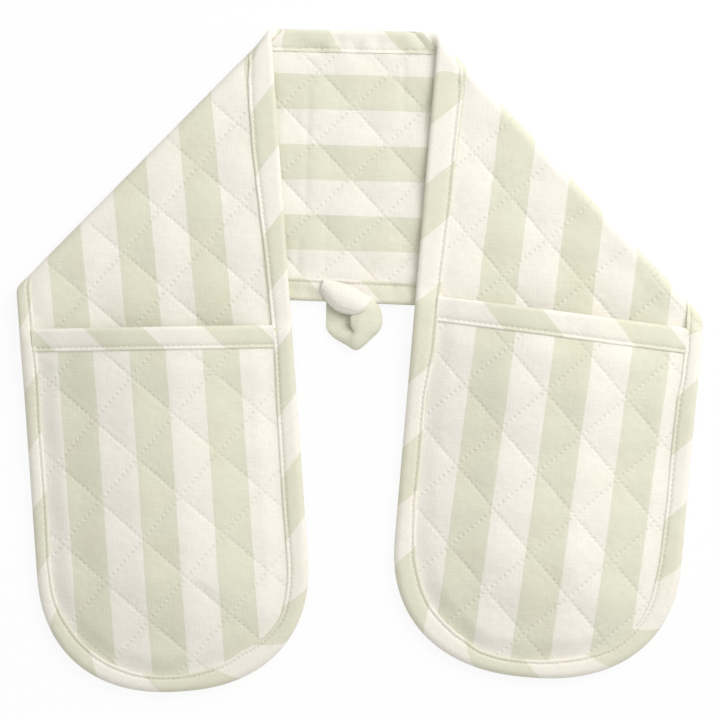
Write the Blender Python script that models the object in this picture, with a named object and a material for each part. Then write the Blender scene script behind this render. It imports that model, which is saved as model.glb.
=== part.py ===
"""Double oven glove: a long quilted band folded flat into two arms, each with a pocket.

Metres, +Z up. The glove lies on its back. The neck is the middle of the band, and its two
ends are folded over it on slanting creases, so that they hang down as the left and right
arm. The origin is on the underside of the neck, below its middle. +X runs to the right and
-Y runs down the arms.
"""

import math
from copy import copy

import bmesh
import bpy
from mathutils import Matrix, Vector
from mathutils.geometry import area_tri, delaunay_2d_cdt

# Cloth of the band
FABRIC = 0.0005
GAP = 0.0003
PUFF_WADDING = 0.0034
CHANNEL_WADDING = 0.0018
EDGE_WADDING = 0.0012

# Cloth of the pockets
POCKET_PUFF_WADDING = 0.0032
POCKET_CHANNEL_WADDING = 0.0014
POCKET_EDGE_WADDING = 0.001
POCKET_HOLLOW = 0.0105
POCKET_FULL_AT = 0.046

# Bias binding
BINDING = 0.0006
BINDING_LEG = 0.012
BINDING_ROUND = 0.0014
EDGE_SLOPE = 0.006
MOUTH_LEG = 0.014

# Quilting
ARM_QUILT_PITCH = 0.035
NECK_QUILT_PITCH = 0.0307
QUILT_TURN = 45.0

# Neck, seen from above
NECK_TOP = 0.0835
NECK_TOP_SLOPE = 1.2
NECK_BOTTOM = 0.083
NECK_BOTTOM_SLOPE = 2.4
NECK_QUILT_X = -0.0012
NECK_QUILT_Y = -0.007
NECK_QUILT_TURN = -2.4

# Left arm, seen from above: its crease, its own axis, its outline and its pocket
LEFT_CREASE_REACH = 0.1325
LEFT_CREASE_SLOPE = 45.3
LEFT_AXIS_REACH = 0.1268
LEFT_LEAN = 4.0
LEFT_HALF_WIDTH = 0.083
LEFT_LENGTH = 0.3214
LEFT_HAND_DEPTH = 0.078
LEFT_MOUTH_AT = 0.098
LEFT_MOUTH_SLOPE = 1.0
LEFT_SAG_START = -0.012
LEFT_QUILT_ACROSS = -0.0329
LEFT_QUILT_DOWN = 0.002
LEFT_POCKET_QUILT_ACROSS = 0.0161
LEFT_POCKET_QUILT_DOWN = 0.177

# Right arm, the same
RIGHT_CREASE_REACH = 0.1279
RIGHT_CREASE_SLOPE = 46.7
RIGHT_AXIS_REACH = 0.1339
RIGHT_LEAN = 4.9
RIGHT_HALF_WIDTH = 0.088
RIGHT_LENGTH = 0.3131
RIGHT_HAND_DEPTH = 0.0787
RIGHT_MOUTH_AT = 0.0895
RIGHT_MOUTH_SLOPE = 7.4
RIGHT_SAG_START = 0.026
RIGHT_QUILT_ACROSS = -0.0358
RIGHT_QUILT_DOWN = 0.0211
RIGHT_POCKET_QUILT_ACROSS = -0.0298
RIGHT_POCKET_QUILT_DOWN = 0.1626

# Both arms
HAND_SQUARENESS = 2.3
SAG_LENGTH = 0.067

# Hanging loop
TAPE_WIDTH = 0.012
TAPE_THICKNESS = 0.0016
LOOP_X = 0.0012
LOOP_HOLE_RADIUS = 0.005
LOOP_DROP = 0.0105
LOOP_TILT = 38.0
LOOP_DOWN_FROM_SHARE = 0.2
LOOP_DOWN_AT_SHARE = 0.5
LOOP_END_ROUNDING = 20.0

# Fineness of the mesh
HAND_STEPS = 16
FOLD_STEPS = 6
LOOP_LEG_STEPS = 4
LOOP_TURN_STEPS = 9
SNAP_SHARE = 0.04
NEAR_SHARE = 0.001
FLAT_ANGLE = 0.01
SMOOTH_ANGLE = 50.0
QUARTER_TURN = 90.0

# Worked out from the sizes above
BAND = 2 * FABRIC + 2 * GAP + PUFF_WADDING
EDGE_BAND = 2 * FABRIC + 2 * GAP + EDGE_WADDING
POCKET_EDGE = 2 * FABRIC + 2 * GAP + POCKET_EDGE_WADDING
EDGE_INNER = EDGE_BAND + 2 * GAP
POCKET_INNER = EDGE_BAND + POCKET_EDGE + 3 * GAP
BINDING_REST = (BAND - EDGE_INNER - 2 * BINDING) / 2
EDGE_LIFT = BINDING_REST + BINDING + GAP
POCKET_EDGE_LIFT = EDGE_LIFT + EDGE_BAND + GAP
POCKET_LIFT = BAND + 2 * GAP + BINDING
CLOTH_EDGE = BINDING + BINDING_ROUND + GAP * (math.sqrt(2) - 1)
ARM_LIFT = BAND + GAP
HINGE_HEIGHT = BAND + GAP / 2
SQUEEZED_TO = BINDING_LEG + GAP
FREE_FROM = SQUEEZED_TO + EDGE_SLOPE
MOUTH_SQUEEZED_TO = MOUTH_LEG + GAP
MOUTH_FREE_FROM = MOUTH_SQUEEZED_TO + EDGE_SLOPE

GREEN_COTTON = (0.78, 0.775, 0.62, 1.0)
CREAM_COTTON = (0.92, 0.90, 0.81, 1.0)
WADDING_WHITE = (0.9, 0.89, 0.86, 1.0)
LINING_CREAM = (0.86, 0.84, 0.76, 1.0)


def clear_scene():
    """Start from an empty scene."""
    for thing in list(bpy.data.objects):
        bpy.data.objects.remove(thing, do_unlink=True)


def cloth_material(name, colour, roughness):
    """A matt cloth of one colour."""
    material = bpy.data.materials.new(name)
    material.use_nodes = True
    shader = material.node_tree.nodes["Principled BSDF"]
    shader.inputs["Base Color"].default_value = colour
    shader.inputs["Roughness"].default_value = roughness
    shader.inputs["Metallic"].default_value = 0
    return material


def heading(degrees):
    """The unit direction in plan at an angle from +X, anticlockwise."""
    turn = math.radians(degrees)
    return Vector((math.cos(turn), math.sin(turn)))


def square_to(direction):
    """The direction a quarter turn anticlockwise."""
    return Vector((-direction.y, direction.x))


def slide(first_normal, first_step, second_normal, second_step):
    """The move that goes the two steps along the two normals."""
    cross = first_normal.x * second_normal.y - first_normal.y * second_normal.x
    x = (first_step * second_normal.y - second_step * first_normal.y) / cross
    y = (second_step * first_normal.x - first_step * second_normal.x) / cross
    return Vector((x, y))


class Line:
    """A straight line in plan, with a unit direction and a normal that points out of the piece."""

    def __init__(self, point, direction, inside):
        self.point = point
        self.direction = direction.normalized()
        self.normal = square_to(self.direction)
        if self.normal.dot(inside - point) > 0:
            self.normal = -self.normal

    def depth(self, point):
        """How far a point lies inside the line."""
        return self.normal.dot(self.point - point)

    def inset(self, distance):
        """The same line moved inward."""
        moved = copy(self)
        moved.point = self.point - self.normal * distance
        return moved

    def meet(self, other):
        """The point where two lines cross."""
        return slide(self.normal, self.normal.dot(self.point),
                     other.normal, other.normal.dot(other.point))


class Side(Line):
    """One side of an outline: bound with tape, open as a mouth is, or cut where the band folds."""

    def __init__(self, start, end, inside, kind):
        super().__init__(start, end - start, inside)
        self.kind = kind


class Outline:
    """A convex outline in plan. A corner is a point and the kind of the side that leaves it."""

    def __init__(self, corners):
        self.points = [point for point, _ in corners]
        self.middle = sum(self.points, Vector((0, 0))) / len(self.points)
        self.sides = []
        for index, (start, kind) in enumerate(corners):
            end = self.points[(index + 1) % len(corners)]
            self.sides.append(Side(start, end, self.middle, kind))

    def bound_depth(self, point):
        """Distance from a point to the nearest bound side."""
        return min(side.depth(point) for side in self.sides if side.kind == "bound")

    def inset_sides(self, bound, mouth):
        """The sides, with the bound ones and the mouth moved inward."""
        widths = {"bound": bound, "mouth": mouth, "cut": 0}
        return [side.inset(widths[side.kind]) for side in self.sides]

    def inset_corners(self, bound, mouth):
        """Where those moved sides meet."""
        lines = self.inset_sides(bound, mouth)
        return [line.meet(lines[index - 1]) for index, line in enumerate(lines)]


class Quilt:
    """Two sets of stitch lines that cross square to each other."""

    def __init__(self, origin, degrees, pitch):
        self.origin = origin
        self.turn = math.radians(degrees)
        self.pitch = pitch

    def place(self, across, along):
        """The place that lies so many pitches from the first crossing of stitch lines."""
        return self.origin + Matrix.Rotation(self.turn, 2) @ Vector((across, along)) * self.pitch

    def puff(self, point):
        """0 on the stitch lines, 1 in the middle of each diamond."""
        from_origin = (point - self.origin) / self.pitch
        along = from_origin.x * math.cos(self.turn) + from_origin.y * math.sin(self.turn)
        across = from_origin.y * math.cos(self.turn) - from_origin.x * math.sin(self.turn)
        return abs(math.sin(math.pi * along) * math.sin(math.pi * across))


class Net:
    """Points and straight edges in plan that a flat mesh has to follow."""

    def __init__(self, snap):
        self.snap = snap
        self.points = []
        self.edges = []

    def point(self, place):
        """The number of the point at a place. A point that is near enough is used again."""
        for index, known in enumerate(self.points):
            if (known - place).length < self.snap:
                return index
        self.points.append(place)
        return len(self.points) - 1

    def edge(self, start, end):
        """Join two places."""
        first = self.point(start)
        second = self.point(end)
        if first != second:
            self.edges.append((first, second))

    def loop(self, places):
        """Join places into a ring."""
        for index, place in enumerate(places):
            self.edge(places[index - 1], place)

    def mesh(self):
        """The flat mesh of triangles that keeps every edge, without the slivers along its rim."""
        near = self.snap * NEAR_SHARE
        points, _, triangles, *_ = delaunay_2d_cdt(self.points, self.edges, [], 0, near)
        bm = bmesh.new()
        verts = [bm.verts.new(point.to_3d()) for point in points]
        for triangle in triangles:
            corners = [points[index] for index in triangle]
            longest = max((corners[number] - corners[number - 1]).length for number in range(3))
            if 2 * area_tri(*corners) > longest * near:
                bm.faces.new([verts[index] for index in triangle])
        return bm


def settled(place, lines, snap):
    """A place, moved onto the nearest line if that is within reach."""
    line = min(lines, key=lambda each: abs(each.depth(place)))
    off = line.depth(place)
    return place + line.normal * off if abs(off) < snap else place


def stretch_inside(start, end, lines):
    """The ends of the stretch of a segment that lies inside a convex shape, or nothing."""
    low = 0
    high = 1
    for line in lines:
        first = line.depth(start)
        second = line.depth(end)
        if first < 0 and second < 0:
            return []
        if first < 0:
            low = max(low, first / (first - second))
        elif second < 0:
            high = min(high, first / (first - second))
    return [start.lerp(end, low), start.lerp(end, high)] if low < high else []


def add_quilting(net, quilt, lines, creases, reach):
    """Add the stitch lines, and lines over each diamond's middle, inside a convex shape."""
    count = 2 * math.ceil(reach / quilt.pitch)
    for column in range(-count, count + 1):
        for row in range(-count, count + 1):
            start = settled(quilt.place(column / 2, row / 2), lines + creases, net.snap)
            steps = [(1, 0), (0, 1)]
            if (column + row) % 2 == 0:
                steps += [(1, 1), (1, -1)]
            for across, along in steps:
                end = quilt.place((column + across) / 2, (row + along) / 2)
                ends = stretch_inside(start, settled(end, lines + creases, net.snap), lines)
                if ends:
                    net.edge(*ends)


def panel_plan(outline, quilt, creases=()):
    """The flat mesh of a panel: quilted middle, sloping row, and flat row inside the binding."""
    net = Net(quilt.pitch * SNAP_SHARE)
    loops = []
    for bound, mouth in ((CLOTH_EDGE, CLOTH_EDGE), (SQUEEZED_TO, MOUTH_SQUEEZED_TO),
                         (FREE_FROM, MOUTH_FREE_FROM)):
        net.loop(outline.inset_corners(bound, CLOTH_EDGE))
        loops.append(outline.inset_corners(bound, mouth))
        net.loop(loops[-1])
    for corners in zip(*loops):
        net.edge(corners[0], corners[1])
        net.edge(corners[1], corners[2])
    reach = max((point - quilt.origin).length for point in outline.points)
    rim = outline.inset_sides(CLOTH_EDGE, CLOTH_EDGE)
    for crease in creases:
        along = crease.direction * reach
        net.edge(*stretch_inside(crease.point - along, crease.point + along, rim))
    free = outline.inset_sides(FREE_FROM, MOUTH_FREE_FROM)
    add_quilting(net, quilt, free, list(creases), reach)
    for line in free:
        if line.kind == "mouth":
            add_mouth_strip(net, line, loops[-1])
    return net.mesh()


def add_mouth_strip(net, line, corners):
    """Carry the points on a mouth's inner line straight out to the mouth's edge."""
    for place in net.points[:]:
        if abs(line.depth(place)) < GAP / 2 and place not in corners:
            pressed = place + line.normal * EDGE_SLOPE
            net.edge(place, pressed)
            net.edge(pressed, place + line.normal * (MOUTH_FREE_FROM - CLOTH_EDGE))


def ramp(value, low, high):
    """0 up to low, 1 from high on, straight in between."""
    return min(1, max(0, (value - low) / (high - low)))


def squeeze(depth, squeezed_to, free_from):
    """1 where the binding presses the cloth flat, 0 where it is free."""
    return 1 - ramp(depth, squeezed_to, free_from)


def hinge_empty(name, place):
    """An empty on the axis that the parts named with it turn about."""
    empty = bpy.data.objects.new(name, None)
    empty.location = place
    bpy.context.scene.collection.objects.link(empty)
    return empty


def finish(name, bm, material):
    """Turn a bmesh into the named object of one sub-part, shaded smooth with crisp corners."""
    bmesh.ops.recalc_face_normals(bm, faces=bm.faces[:])
    mesh = bpy.data.meshes.new(name)
    bm.to_mesh(mesh)
    bm.free()
    mesh.materials.append(material)
    mesh.shade_smooth()
    mesh.set_sharp_from_angle(angle=math.radians(SMOOTH_ANGLE))
    piece = bpy.data.objects.new(name, mesh)
    bpy.context.scene.collection.objects.link(piece)
    return piece


def cloth_layer(name, plan, low, high, material):
    """A solid sheet over the plan between two heights, each a function of the place in plan."""
    bm = plan.copy()
    made = bmesh.ops.extrude_face_region(bm, geom=bm.faces[:])["geom"]
    raised = {item for item in made if isinstance(item, bmesh.types.BMVert)}
    for vert in bm.verts:
        height = high if vert in raised else low
        vert.co.z = height(vert.co.xy)
    bmesh.ops.dissolve_limit(bm, angle_limit=math.radians(FLAT_ANGLE),
                             verts=bm.verts[:], edges=bm.edges[:])
    return finish(name, bm, material)


def loft(bm, rings):
    """Skin a row of rings of equally many points, and close both ends."""
    rows = [[bm.verts.new(point) for point in ring] for ring in rings]
    for row, following in zip(rows, rows[1:]):
        for index in range(len(row)):
            after = (index + 1) % len(row)
            bm.faces.new((row[index], row[after], following[after], following[index]))
    bm.faces.new(rows[0])
    bm.faces.new(reversed(rows[-1]))


def tape_section(inner_height, leg):
    """A strip folded round an edge, as points (inward, up) from its lower lip to its upper lip."""
    top = inner_height + 2 * BINDING
    outer_round = BINDING_ROUND + BINDING * (2 - math.sqrt(2))
    inner_start = BINDING + BINDING_ROUND
    return [(leg, 0), (outer_round, 0), (0, outer_round), (0, top - outer_round),
            (outer_round, top), (leg, top), (leg, top - BINDING), (inner_start, top - BINDING),
            (BINDING, top - inner_start), (BINDING, inner_start), (inner_start, BINDING),
            (leg, BINDING)]


def band_levels(pressed, wadding):
    """Heights above the band's base of the under and upper face of each of its three layers."""
    back_low = pressed * EDGE_LIFT
    wadding_low = back_low + FABRIC + GAP
    face_low = wadding_low + wadding + GAP
    return {"back": (back_low, back_low + FABRIC),
            "wadding": (wadding_low, wadding_low + wadding),
            "face": (face_low, face_low + FABRIC)}


class Band:
    """A stretch of the band: its outline, its quilting and the height of its base."""

    def __init__(self, outline, quilt, base, creases=()):
        self.outline = outline
        self.quilt = quilt
        self.base = base
        self.plan = panel_plan(outline, quilt, creases)

    def level(self, layer, face):
        """Height of one face of one layer, as a function of the place in plan."""
        def height(point):
            pressed = squeeze(self.outline.bound_depth(point), SQUEEZED_TO, FREE_FROM)
            from_cut = min(side.depth(point) for side in self.outline.sides if side.kind == "cut")
            quilted = ramp(from_cut, 0, self.quilt.pitch / 2)
            puff = 1 - quilted * (1 - self.quilt.puff(point))
            free = CHANNEL_WADDING + puff * (PUFF_WADDING - CHANNEL_WADDING)
            wadding = free + pressed * (EDGE_WADDING - free)
            return self.base(point) + band_levels(pressed, wadding)[layer][face]
        return height

    def build(self, names, materials):
        """Make the back cloth, the wadding and the face cloth."""
        for layer, name in names.items():
            cloth_layer(name, self.plan, self.level(layer, 0), self.level(layer, 1),
                        materials[layer])


def bound_stations(outline, extra_lines=()):
    """Places along the bound sides: a point on the edge and the step inward that keeps its corner."""
    count = len(outline.sides)
    stations = []
    for index, side in enumerate(outline.sides):
        before = outline.sides[index - 1]
        if side.kind == "bound" or before.kind == "bound":
            steps = [1 if each.kind == "bound" else 0 for each in (before, side)]
            inward = -slide(before.normal, steps[0], side.normal, steps[1])
            stations.append((side.point, inward))
        if side.kind == "bound":
            end = outline.sides[(index + 1) % count].point
            length = (end - side.point).length
            crossings = []
            for line in extra_lines:
                place = line.meet(side)
                along = (place - side.point).dot(end - side.point) / length
                if GAP < along < length - GAP:
                    crossings.append((along, place))
            for _, place in sorted(crossings, key=lambda crossing: crossing[0]):
                stations.append((place, -side.normal))
    return stations


def section_ring(place, inward, section, base):
    """The points of a section that stands at a place on the edge, over the base."""
    ring = []
    for depth, up in section:
        point = place + inward * depth
        ring.append((point.x, point.y, base(point) + up))
    return ring


def edge_binding(name, stations, inner_height, base, material):
    """The strip folded round the band's edge."""
    rings = []
    for place, inward in stations:
        section = tape_section(inner_height(place), BINDING_LEG)
        rings.append(section_ring(place, inward, section, lambda point: base(point) + BINDING_REST))
    bm = bmesh.new()
    loft(bm, rings)
    return finish(name, bm, material)


class Arm:
    """One arm, folded over the neck: its crease, its axis, its outline and its pocket's mouth."""

    def __init__(self, name, sign, crease_reach, crease_slope, axis_reach, lean, half_width,
                 length, hand_depth, mouth_at, mouth_slope, sag_start, quilt_place,
                 pocket_quilt_place):
        self.name = name
        self.sign = sign
        self.half_width = half_width
        self.length = length
        self.hand_depth = hand_depth
        self.sag_start = sag_start
        middle = Vector((0, 0))
        crease_point = Vector((sign * crease_reach, 0))
        crease_direction = self.mirrored(heading(-crease_slope))
        self.silhouette = Line(crease_point, crease_direction, middle)
        self.hinge = self.silhouette.inset(HINGE_HEIGHT)
        self.cut = self.hinge.inset(GAP)
        self.axis_point = Vector((sign * axis_reach, 0))
        self.down = self.mirrored(heading(-lean - QUARTER_TURN))
        self.across = self.mirrored(heading(-lean))
        mouth_point = Vector((self.axis_point.x, -mouth_at))
        mouth_direction = self.mirrored(heading(-mouth_slope))
        self.mouth = Line(mouth_point, mouth_direction, self.place(0, length))
        self.outline = self.arm_outline()
        self.pocket_outline = self.cut_at_mouth()
        turn = math.degrees(math.atan2(self.down.y, self.down.x)) + QUILT_TURN
        self.quilt = Quilt(self.place(*quilt_place), turn, ARM_QUILT_PITCH)
        self.pocket_quilt = Quilt(self.place(*pocket_quilt_place), turn, ARM_QUILT_PITCH)

    def mirrored(self, direction):
        """A direction given for the right arm, on this arm's side."""
        return Vector((self.sign * direction.x, direction.y))

    def place(self, across, down):
        """A place in plan from its distance outward from the arm's axis and down along it."""
        return self.axis_point + self.across * across + self.down * down

    def hand_points(self):
        """The rounded end, from the inner side to the outer side."""
        points = []
        start = self.length - self.hand_depth
        for step in range(HAND_STEPS + 1):
            turn = math.pi * step / HAND_STEPS
            across = -math.copysign(abs(math.cos(turn)) ** (2 / HAND_SQUARENESS), math.cos(turn))
            down = math.sin(turn) ** (2 / HAND_SQUARENESS)
            points.append(self.place(across * self.half_width, start + down * self.hand_depth))
        return points

    def side_line(self, outward):
        """The straight inner (-1) or outer (1) side."""
        return Line(self.place(outward * self.half_width, 0), self.down, self.place(0, 0))

    def arm_outline(self):
        """Crease, inner side, hand and outer side."""
        corners = [(self.cut.meet(self.side_line(-1)), "bound")]
        corners += [(point, "bound") for point in self.hand_points()]
        corners.append((self.cut.meet(self.side_line(1)), "cut"))
        return Outline(corners)

    def cut_at_mouth(self):
        """The pocket's outline: the arm's, closed by the mouth."""
        corners = [(self.mouth.meet(self.side_line(-1)), "bound")]
        corners += [(point, "bound") for point in self.hand_points()]
        corners.append((self.mouth.meet(self.side_line(1)), "mouth"))
        return Outline(corners)

    def base(self, point):
        """Height of the arm's underside: over the neck, then sagging to the ground."""
        sagged = ramp(self.mouth.depth(point), self.sag_start, self.sag_start + SAG_LENGTH)
        return ARM_LIFT * (1 - sagged)

    def sag_lines(self):
        """Where the sag starts and ends."""
        return [self.mouth.inset(self.sag_start), self.mouth.inset(self.sag_start + SAG_LENGTH)]

    def pocket_floor(self, point):
        """Height of the lining's lower face: caught in the binding, then crowned over the hand."""
        depth = self.pocket_outline.bound_depth(point)
        pressed = squeeze(depth, SQUEEZED_TO, FREE_FROM)
        crown = POCKET_HOLLOW * math.sin(ramp(depth, FREE_FROM, POCKET_FULL_AT) * math.pi / 2)
        free = POCKET_LIFT + crown
        return self.base(point) + free + pressed * (POCKET_EDGE_LIFT - free)

    def pocket_level(self, layer, face):
        """Height of one face of one layer of the pocket, as a function of the place in plan."""
        def height(point):
            pressed = max(
                squeeze(self.pocket_outline.bound_depth(point), SQUEEZED_TO, FREE_FROM),
                squeeze(self.mouth.depth(point), MOUTH_SQUEEZED_TO, MOUTH_FREE_FROM))
            free = POCKET_CHANNEL_WADDING + self.pocket_quilt.puff(point) * (
                POCKET_PUFF_WADDING - POCKET_CHANNEL_WADDING)
            wadding = free + pressed * (POCKET_EDGE_WADDING - free)
            wadding_low = FABRIC + GAP
            face_low = wadding_low + wadding + GAP
            levels = {"lining": (0, FABRIC), "wadding": (wadding_low, wadding_low + wadding),
                      "face": (face_low, face_low + FABRIC)}
            return self.pocket_floor(point) + levels[layer][face]
        return height

    def inner_height(self, place):
        """Room inside the edge binding: deeper where it also holds the pocket."""
        deep = ramp(self.mouth.depth(place), -EDGE_SLOPE, -EDGE_SLOPE / 2)
        return EDGE_INNER + deep * (POCKET_INNER - EDGE_INNER)

    def build(self, materials):
        """Make the eight pieces of the arm, and hang them from its hinge."""
        others = set(bpy.data.objects)
        band = Band(self.outline, self.quilt, self.base, self.sag_lines())
        band.build({"back": self.name + "_arm_back_fabric",
                    "wadding": self.name + "_arm_wadding",
                    "face": self.name + "_arm_face_fabric"}, materials)
        lines = self.sag_lines()
        lines += [self.mouth.inset(-EDGE_SLOPE), self.mouth.inset(-EDGE_SLOPE / 2)]
        edge_binding(self.name + "_arm_binding", bound_stations(self.outline, lines),
                     self.inner_height, self.base, materials["binding"])
        self.build_pocket(materials)
        middle = (self.hinge.meet(self.side_line(-1)) + self.hinge.meet(self.side_line(1))) / 2
        empty = hinge_empty(self.name + "_arm_hinge", (middle.x, middle.y, HINGE_HEIGHT))
        for piece in set(bpy.data.objects) - others - {empty}:
            piece.parent = empty
            piece.location = -empty.location

    def build_pocket(self, materials):
        """Make the lining, wadding, face cloth and mouth binding of the pocket."""
        creases = [line for line in self.sag_lines() if self.mouth.depth(line.point) > MOUTH_FREE_FROM]
        plan = panel_plan(self.pocket_outline, self.pocket_quilt, creases)
        names = {"lining": "_pocket_lining", "wadding": "_pocket_wadding",
                 "face": "_pocket_face_fabric"}
        for layer, ending in names.items():
            cloth_layer(self.name + ending, plan, self.pocket_level(layer, 0),
                        self.pocket_level(layer, 1), materials[layer])
        self.mouth_binding(plan, materials["binding"])

    def mouth_binding(self, plan, material):
        """The strip folded over the pocket's mouth, between the legs of the edge binding."""
        edge_points = [vert.co.xy for vert in plan.verts
                       if abs(self.mouth.depth(vert.co.xy) - CLOTH_EDGE) < GAP / 2]
        ends = [self.mouth.meet(self.side_line(outward).inset(SQUEEZED_TO)) for outward in (-1, 1)]
        feet = [self.mouth.meet(self.side_line(outward).inset(FREE_FROM)) for outward in (-1, 1)]
        along = self.mouth.direction
        places = [point + self.mouth.normal * CLOTH_EDGE for point in edge_points]
        low, high = sorted(foot.dot(along) for foot in feet)
        places = [place for place in places if low + GAP < place.dot(along) < high - GAP]
        inner_height = POCKET_EDGE + 2 * GAP
        section = tape_section(inner_height, MOUTH_LEG)
        short_leg = BINDING + BINDING_ROUND + GAP / 2
        short = [(short_leg, 0)] + section[1:-1] + [(short_leg, BINDING)]
        sunk = BINDING + GAP
        lifted = [(depth - 2 * GAP, up + sunk) if up < inner_height / 2 else (depth, up)
                  for depth, up in short]
        stations = [(place, -self.mouth.normal, section) for place in places]
        for outward, end, foot in zip((-1, 1), ends, feet):
            side = self.side_line(outward)
            along_side = -slide(self.mouth.normal, 1, side.normal, 0)
            stations.append((end, along_side, lifted))
            stations.append((foot, along_side, short))
        stations.sort(key=lambda station: station[0].dot(along))
        rings = [section_ring(place, inward, points, lambda point: self.pocket_floor(point) - sunk)
                 for place, inward, points in stations]
        bm = bmesh.new()
        loft(bm, rings)
        return finish(self.name + "_pocket_mouth_binding", bm, material)


def neck_outline(left, right):
    """The neck between the two creases."""
    middle = Vector((0, 0))
    top = Line(Vector((0, NECK_TOP)), heading(-NECK_TOP_SLOPE), middle)
    bottom = Line(Vector((0, -NECK_BOTTOM)), heading(-NECK_BOTTOM_SLOPE), middle)
    return Outline([(top.meet(left.cut), "bound"), (top.meet(right.cut), "cut"),
                    (bottom.meet(right.cut), "bound"), (bottom.meet(left.cut), "cut")])


def build_neck(left, right, materials):
    """Make the neck's three layers and its two bindings."""
    outline = neck_outline(left, right)
    quilt = Quilt(Vector((NECK_QUILT_X, NECK_QUILT_Y)), QUILT_TURN + NECK_QUILT_TURN,
                  NECK_QUILT_PITCH)
    band = Band(outline, quilt, lambda point: 0)
    band.build({"back": "neck_back_fabric", "wadding": "neck_wadding",
                "face": "neck_face_fabric"}, materials)
    stations = bound_stations(outline)
    for name, ends in (("neck_top_binding", stations[:2]), ("neck_bottom_binding", stations[2:])):
        edge_binding(name, ends, lambda place: EDGE_INNER, lambda point: 0, materials["binding"])
    return outline


def turned_rings(section, hinge):
    """A section given as points in plan with heights, turned half round the hinge in steps."""
    outward = hinge.normal.to_3d()
    rings = []
    for step in range(FOLD_STEPS + 1):
        turn = math.pi * step / FOLD_STEPS
        ring = []
        for point, height in section:
            radius = HINGE_HEIGHT - height
            foot = point.to_3d() + outward * (radius * math.sin(turn))
            ring.append(foot + Vector((0, 0, HINGE_HEIGHT - radius * math.cos(turn))))
        rings.append(ring)
    return rings


def build_fold(arm, outline, materials):
    """Make the cloth, wadding and bindings that go round the bend between the neck and one arm."""
    cut_side = max(outline.sides, key=lambda side: side.normal.dot(arm.cut.normal))
    corners = []
    for place, inward in bound_stations(outline):
        if abs(cut_side.depth(place)) < GAP / 2:
            corners.append((place + arm.cut.normal * GAP, inward))
    corners.sort(key=lambda corner: corner[0].y)
    names = {"back": "_fold_outer_fabric", "wadding": "_fold_wadding", "face": "_fold_inner_fabric"}
    for layer, ending in names.items():
        lower = []
        upper = []
        for place, inward in corners:
            row = [(CLOTH_EDGE, 1), (SQUEEZED_TO, 1), (FREE_FROM, 0)]
            if upper:
                row.reverse()
            for depth, pressed in row:
                wadding = PUFF_WADDING + pressed * (EDGE_WADDING - PUFF_WADDING)
                low, high = band_levels(pressed, wadding)[layer]
                lower.append((place + inward * depth, low))
                upper.append((place + inward * depth, high))
        bm = bmesh.new()
        loft(bm, turned_rings(lower + upper[::-1], arm.hinge))
        finish(arm.name + ending, bm, materials[layer])
    for (place, inward), ending in zip(corners, ("_fold_bottom_binding", "_fold_top_binding")):
        section = [(place + inward * depth, BINDING_REST + up)
                   for depth, up in tape_section(EDGE_INNER, BINDING_LEG)]
        bm = bmesh.new()
        loft(bm, turned_rings(section, arm.hinge))
        finish(arm.name + ending, bm, materials["binding"])


def loop_path():
    """The tape's middle line: down the right leg, round the bottom and up the left leg."""
    spread = LOOP_HOLE_RADIUS + TAPE_WIDTH / 2
    start = (TAPE_WIDTH + GAP) / 2
    leg = []
    for step in range(LOOP_LEG_STEPS):
        share = step / LOOP_LEG_STEPS
        smooth = (1 - math.cos(math.pi * share)) / 2
        leg.append(Vector((start + smooth * (spread - start), -share * LOOP_DROP)))
    turn = []
    for step in range(LOOP_TURN_STEPS + 1):
        angle = math.pi * step / LOOP_TURN_STEPS
        turn.append(Vector((spread * math.cos(angle), -LOOP_DROP - spread * math.sin(angle))))
    return leg + turn + [Vector((-point.x, point.y)) for point in reversed(leg)]


def tape_ring(centre, wide, thick, half_thickness):
    """The section of the tape, softened at its two edges."""
    half_width = TAPE_WIDTH / 2
    flat = half_width - half_thickness
    corners = ((-half_width, 0), (-flat, -half_thickness), (flat, -half_thickness),
               (half_width, 0), (flat, half_thickness), (-flat, half_thickness))
    return [centre + wide * across + thick * up for across, up in corners]


def build_loop(outline, material):
    """The hanging loop: a folded tape whose two ends are sewn to the neck's lower edge."""
    edge = min(outline.sides, key=lambda side: side.normal.y)
    half = TAPE_THICKNESS / 2
    seam = edge.inset(-GAP - half)
    root = seam.meet(Line(Vector((LOOP_X, 0)), Vector((0, 1)), outline.middle))
    seam_height = BAND / 2
    path = loop_path()
    last = len(path) - 1
    rings = []
    for index, point in enumerate(path):
        share = index / last
        outward = square_to(path[min(last, index + 1)] - path[max(0, index - 1)]).normalized()
        if index in (0, last):
            outward = Vector((1 - 2 * share, 0))
        tilt = math.radians(LOOP_TILT) * math.sin(math.pi * share) ** 2
        lying = ramp(math.sin(math.pi * share), LOOP_DOWN_FROM_SHARE, LOOP_DOWN_AT_SHARE)
        resting = half * math.cos(tilt) + TAPE_WIDTH / 2 * math.sin(tilt) - seam_height
        centre = Vector((point.x, point.y, lying * resting))
        wide = Vector((outward.x * math.cos(tilt), outward.y * math.cos(tilt), math.sin(tilt)))
        thick = Vector((-outward.x * math.sin(tilt), -outward.y * math.sin(tilt), math.cos(tilt)))
        rings.append(tape_ring(centre, wide, thick, half))
    rounding = math.radians(LOOP_END_ROUNDING)
    caps = []
    for place, facing in ((path[0], 1), (path[-1], -1)):
        centre = Vector((place.x, place.y + half * math.cos(rounding), 0))
        caps.append(tape_ring(centre, Vector((facing, 0, 0)), Vector((0, 0, 1)),
                              half * math.sin(rounding)))
    bm = bmesh.new()
    loft(bm, caps[:1] + rings + caps[1:])
    loop = finish("hanging_loop", bm, material)
    loop.location = (root.x, root.y, seam_height)
    loop.rotation_euler.z = math.radians(-NECK_BOTTOM_SLOPE)
    return loop


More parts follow.
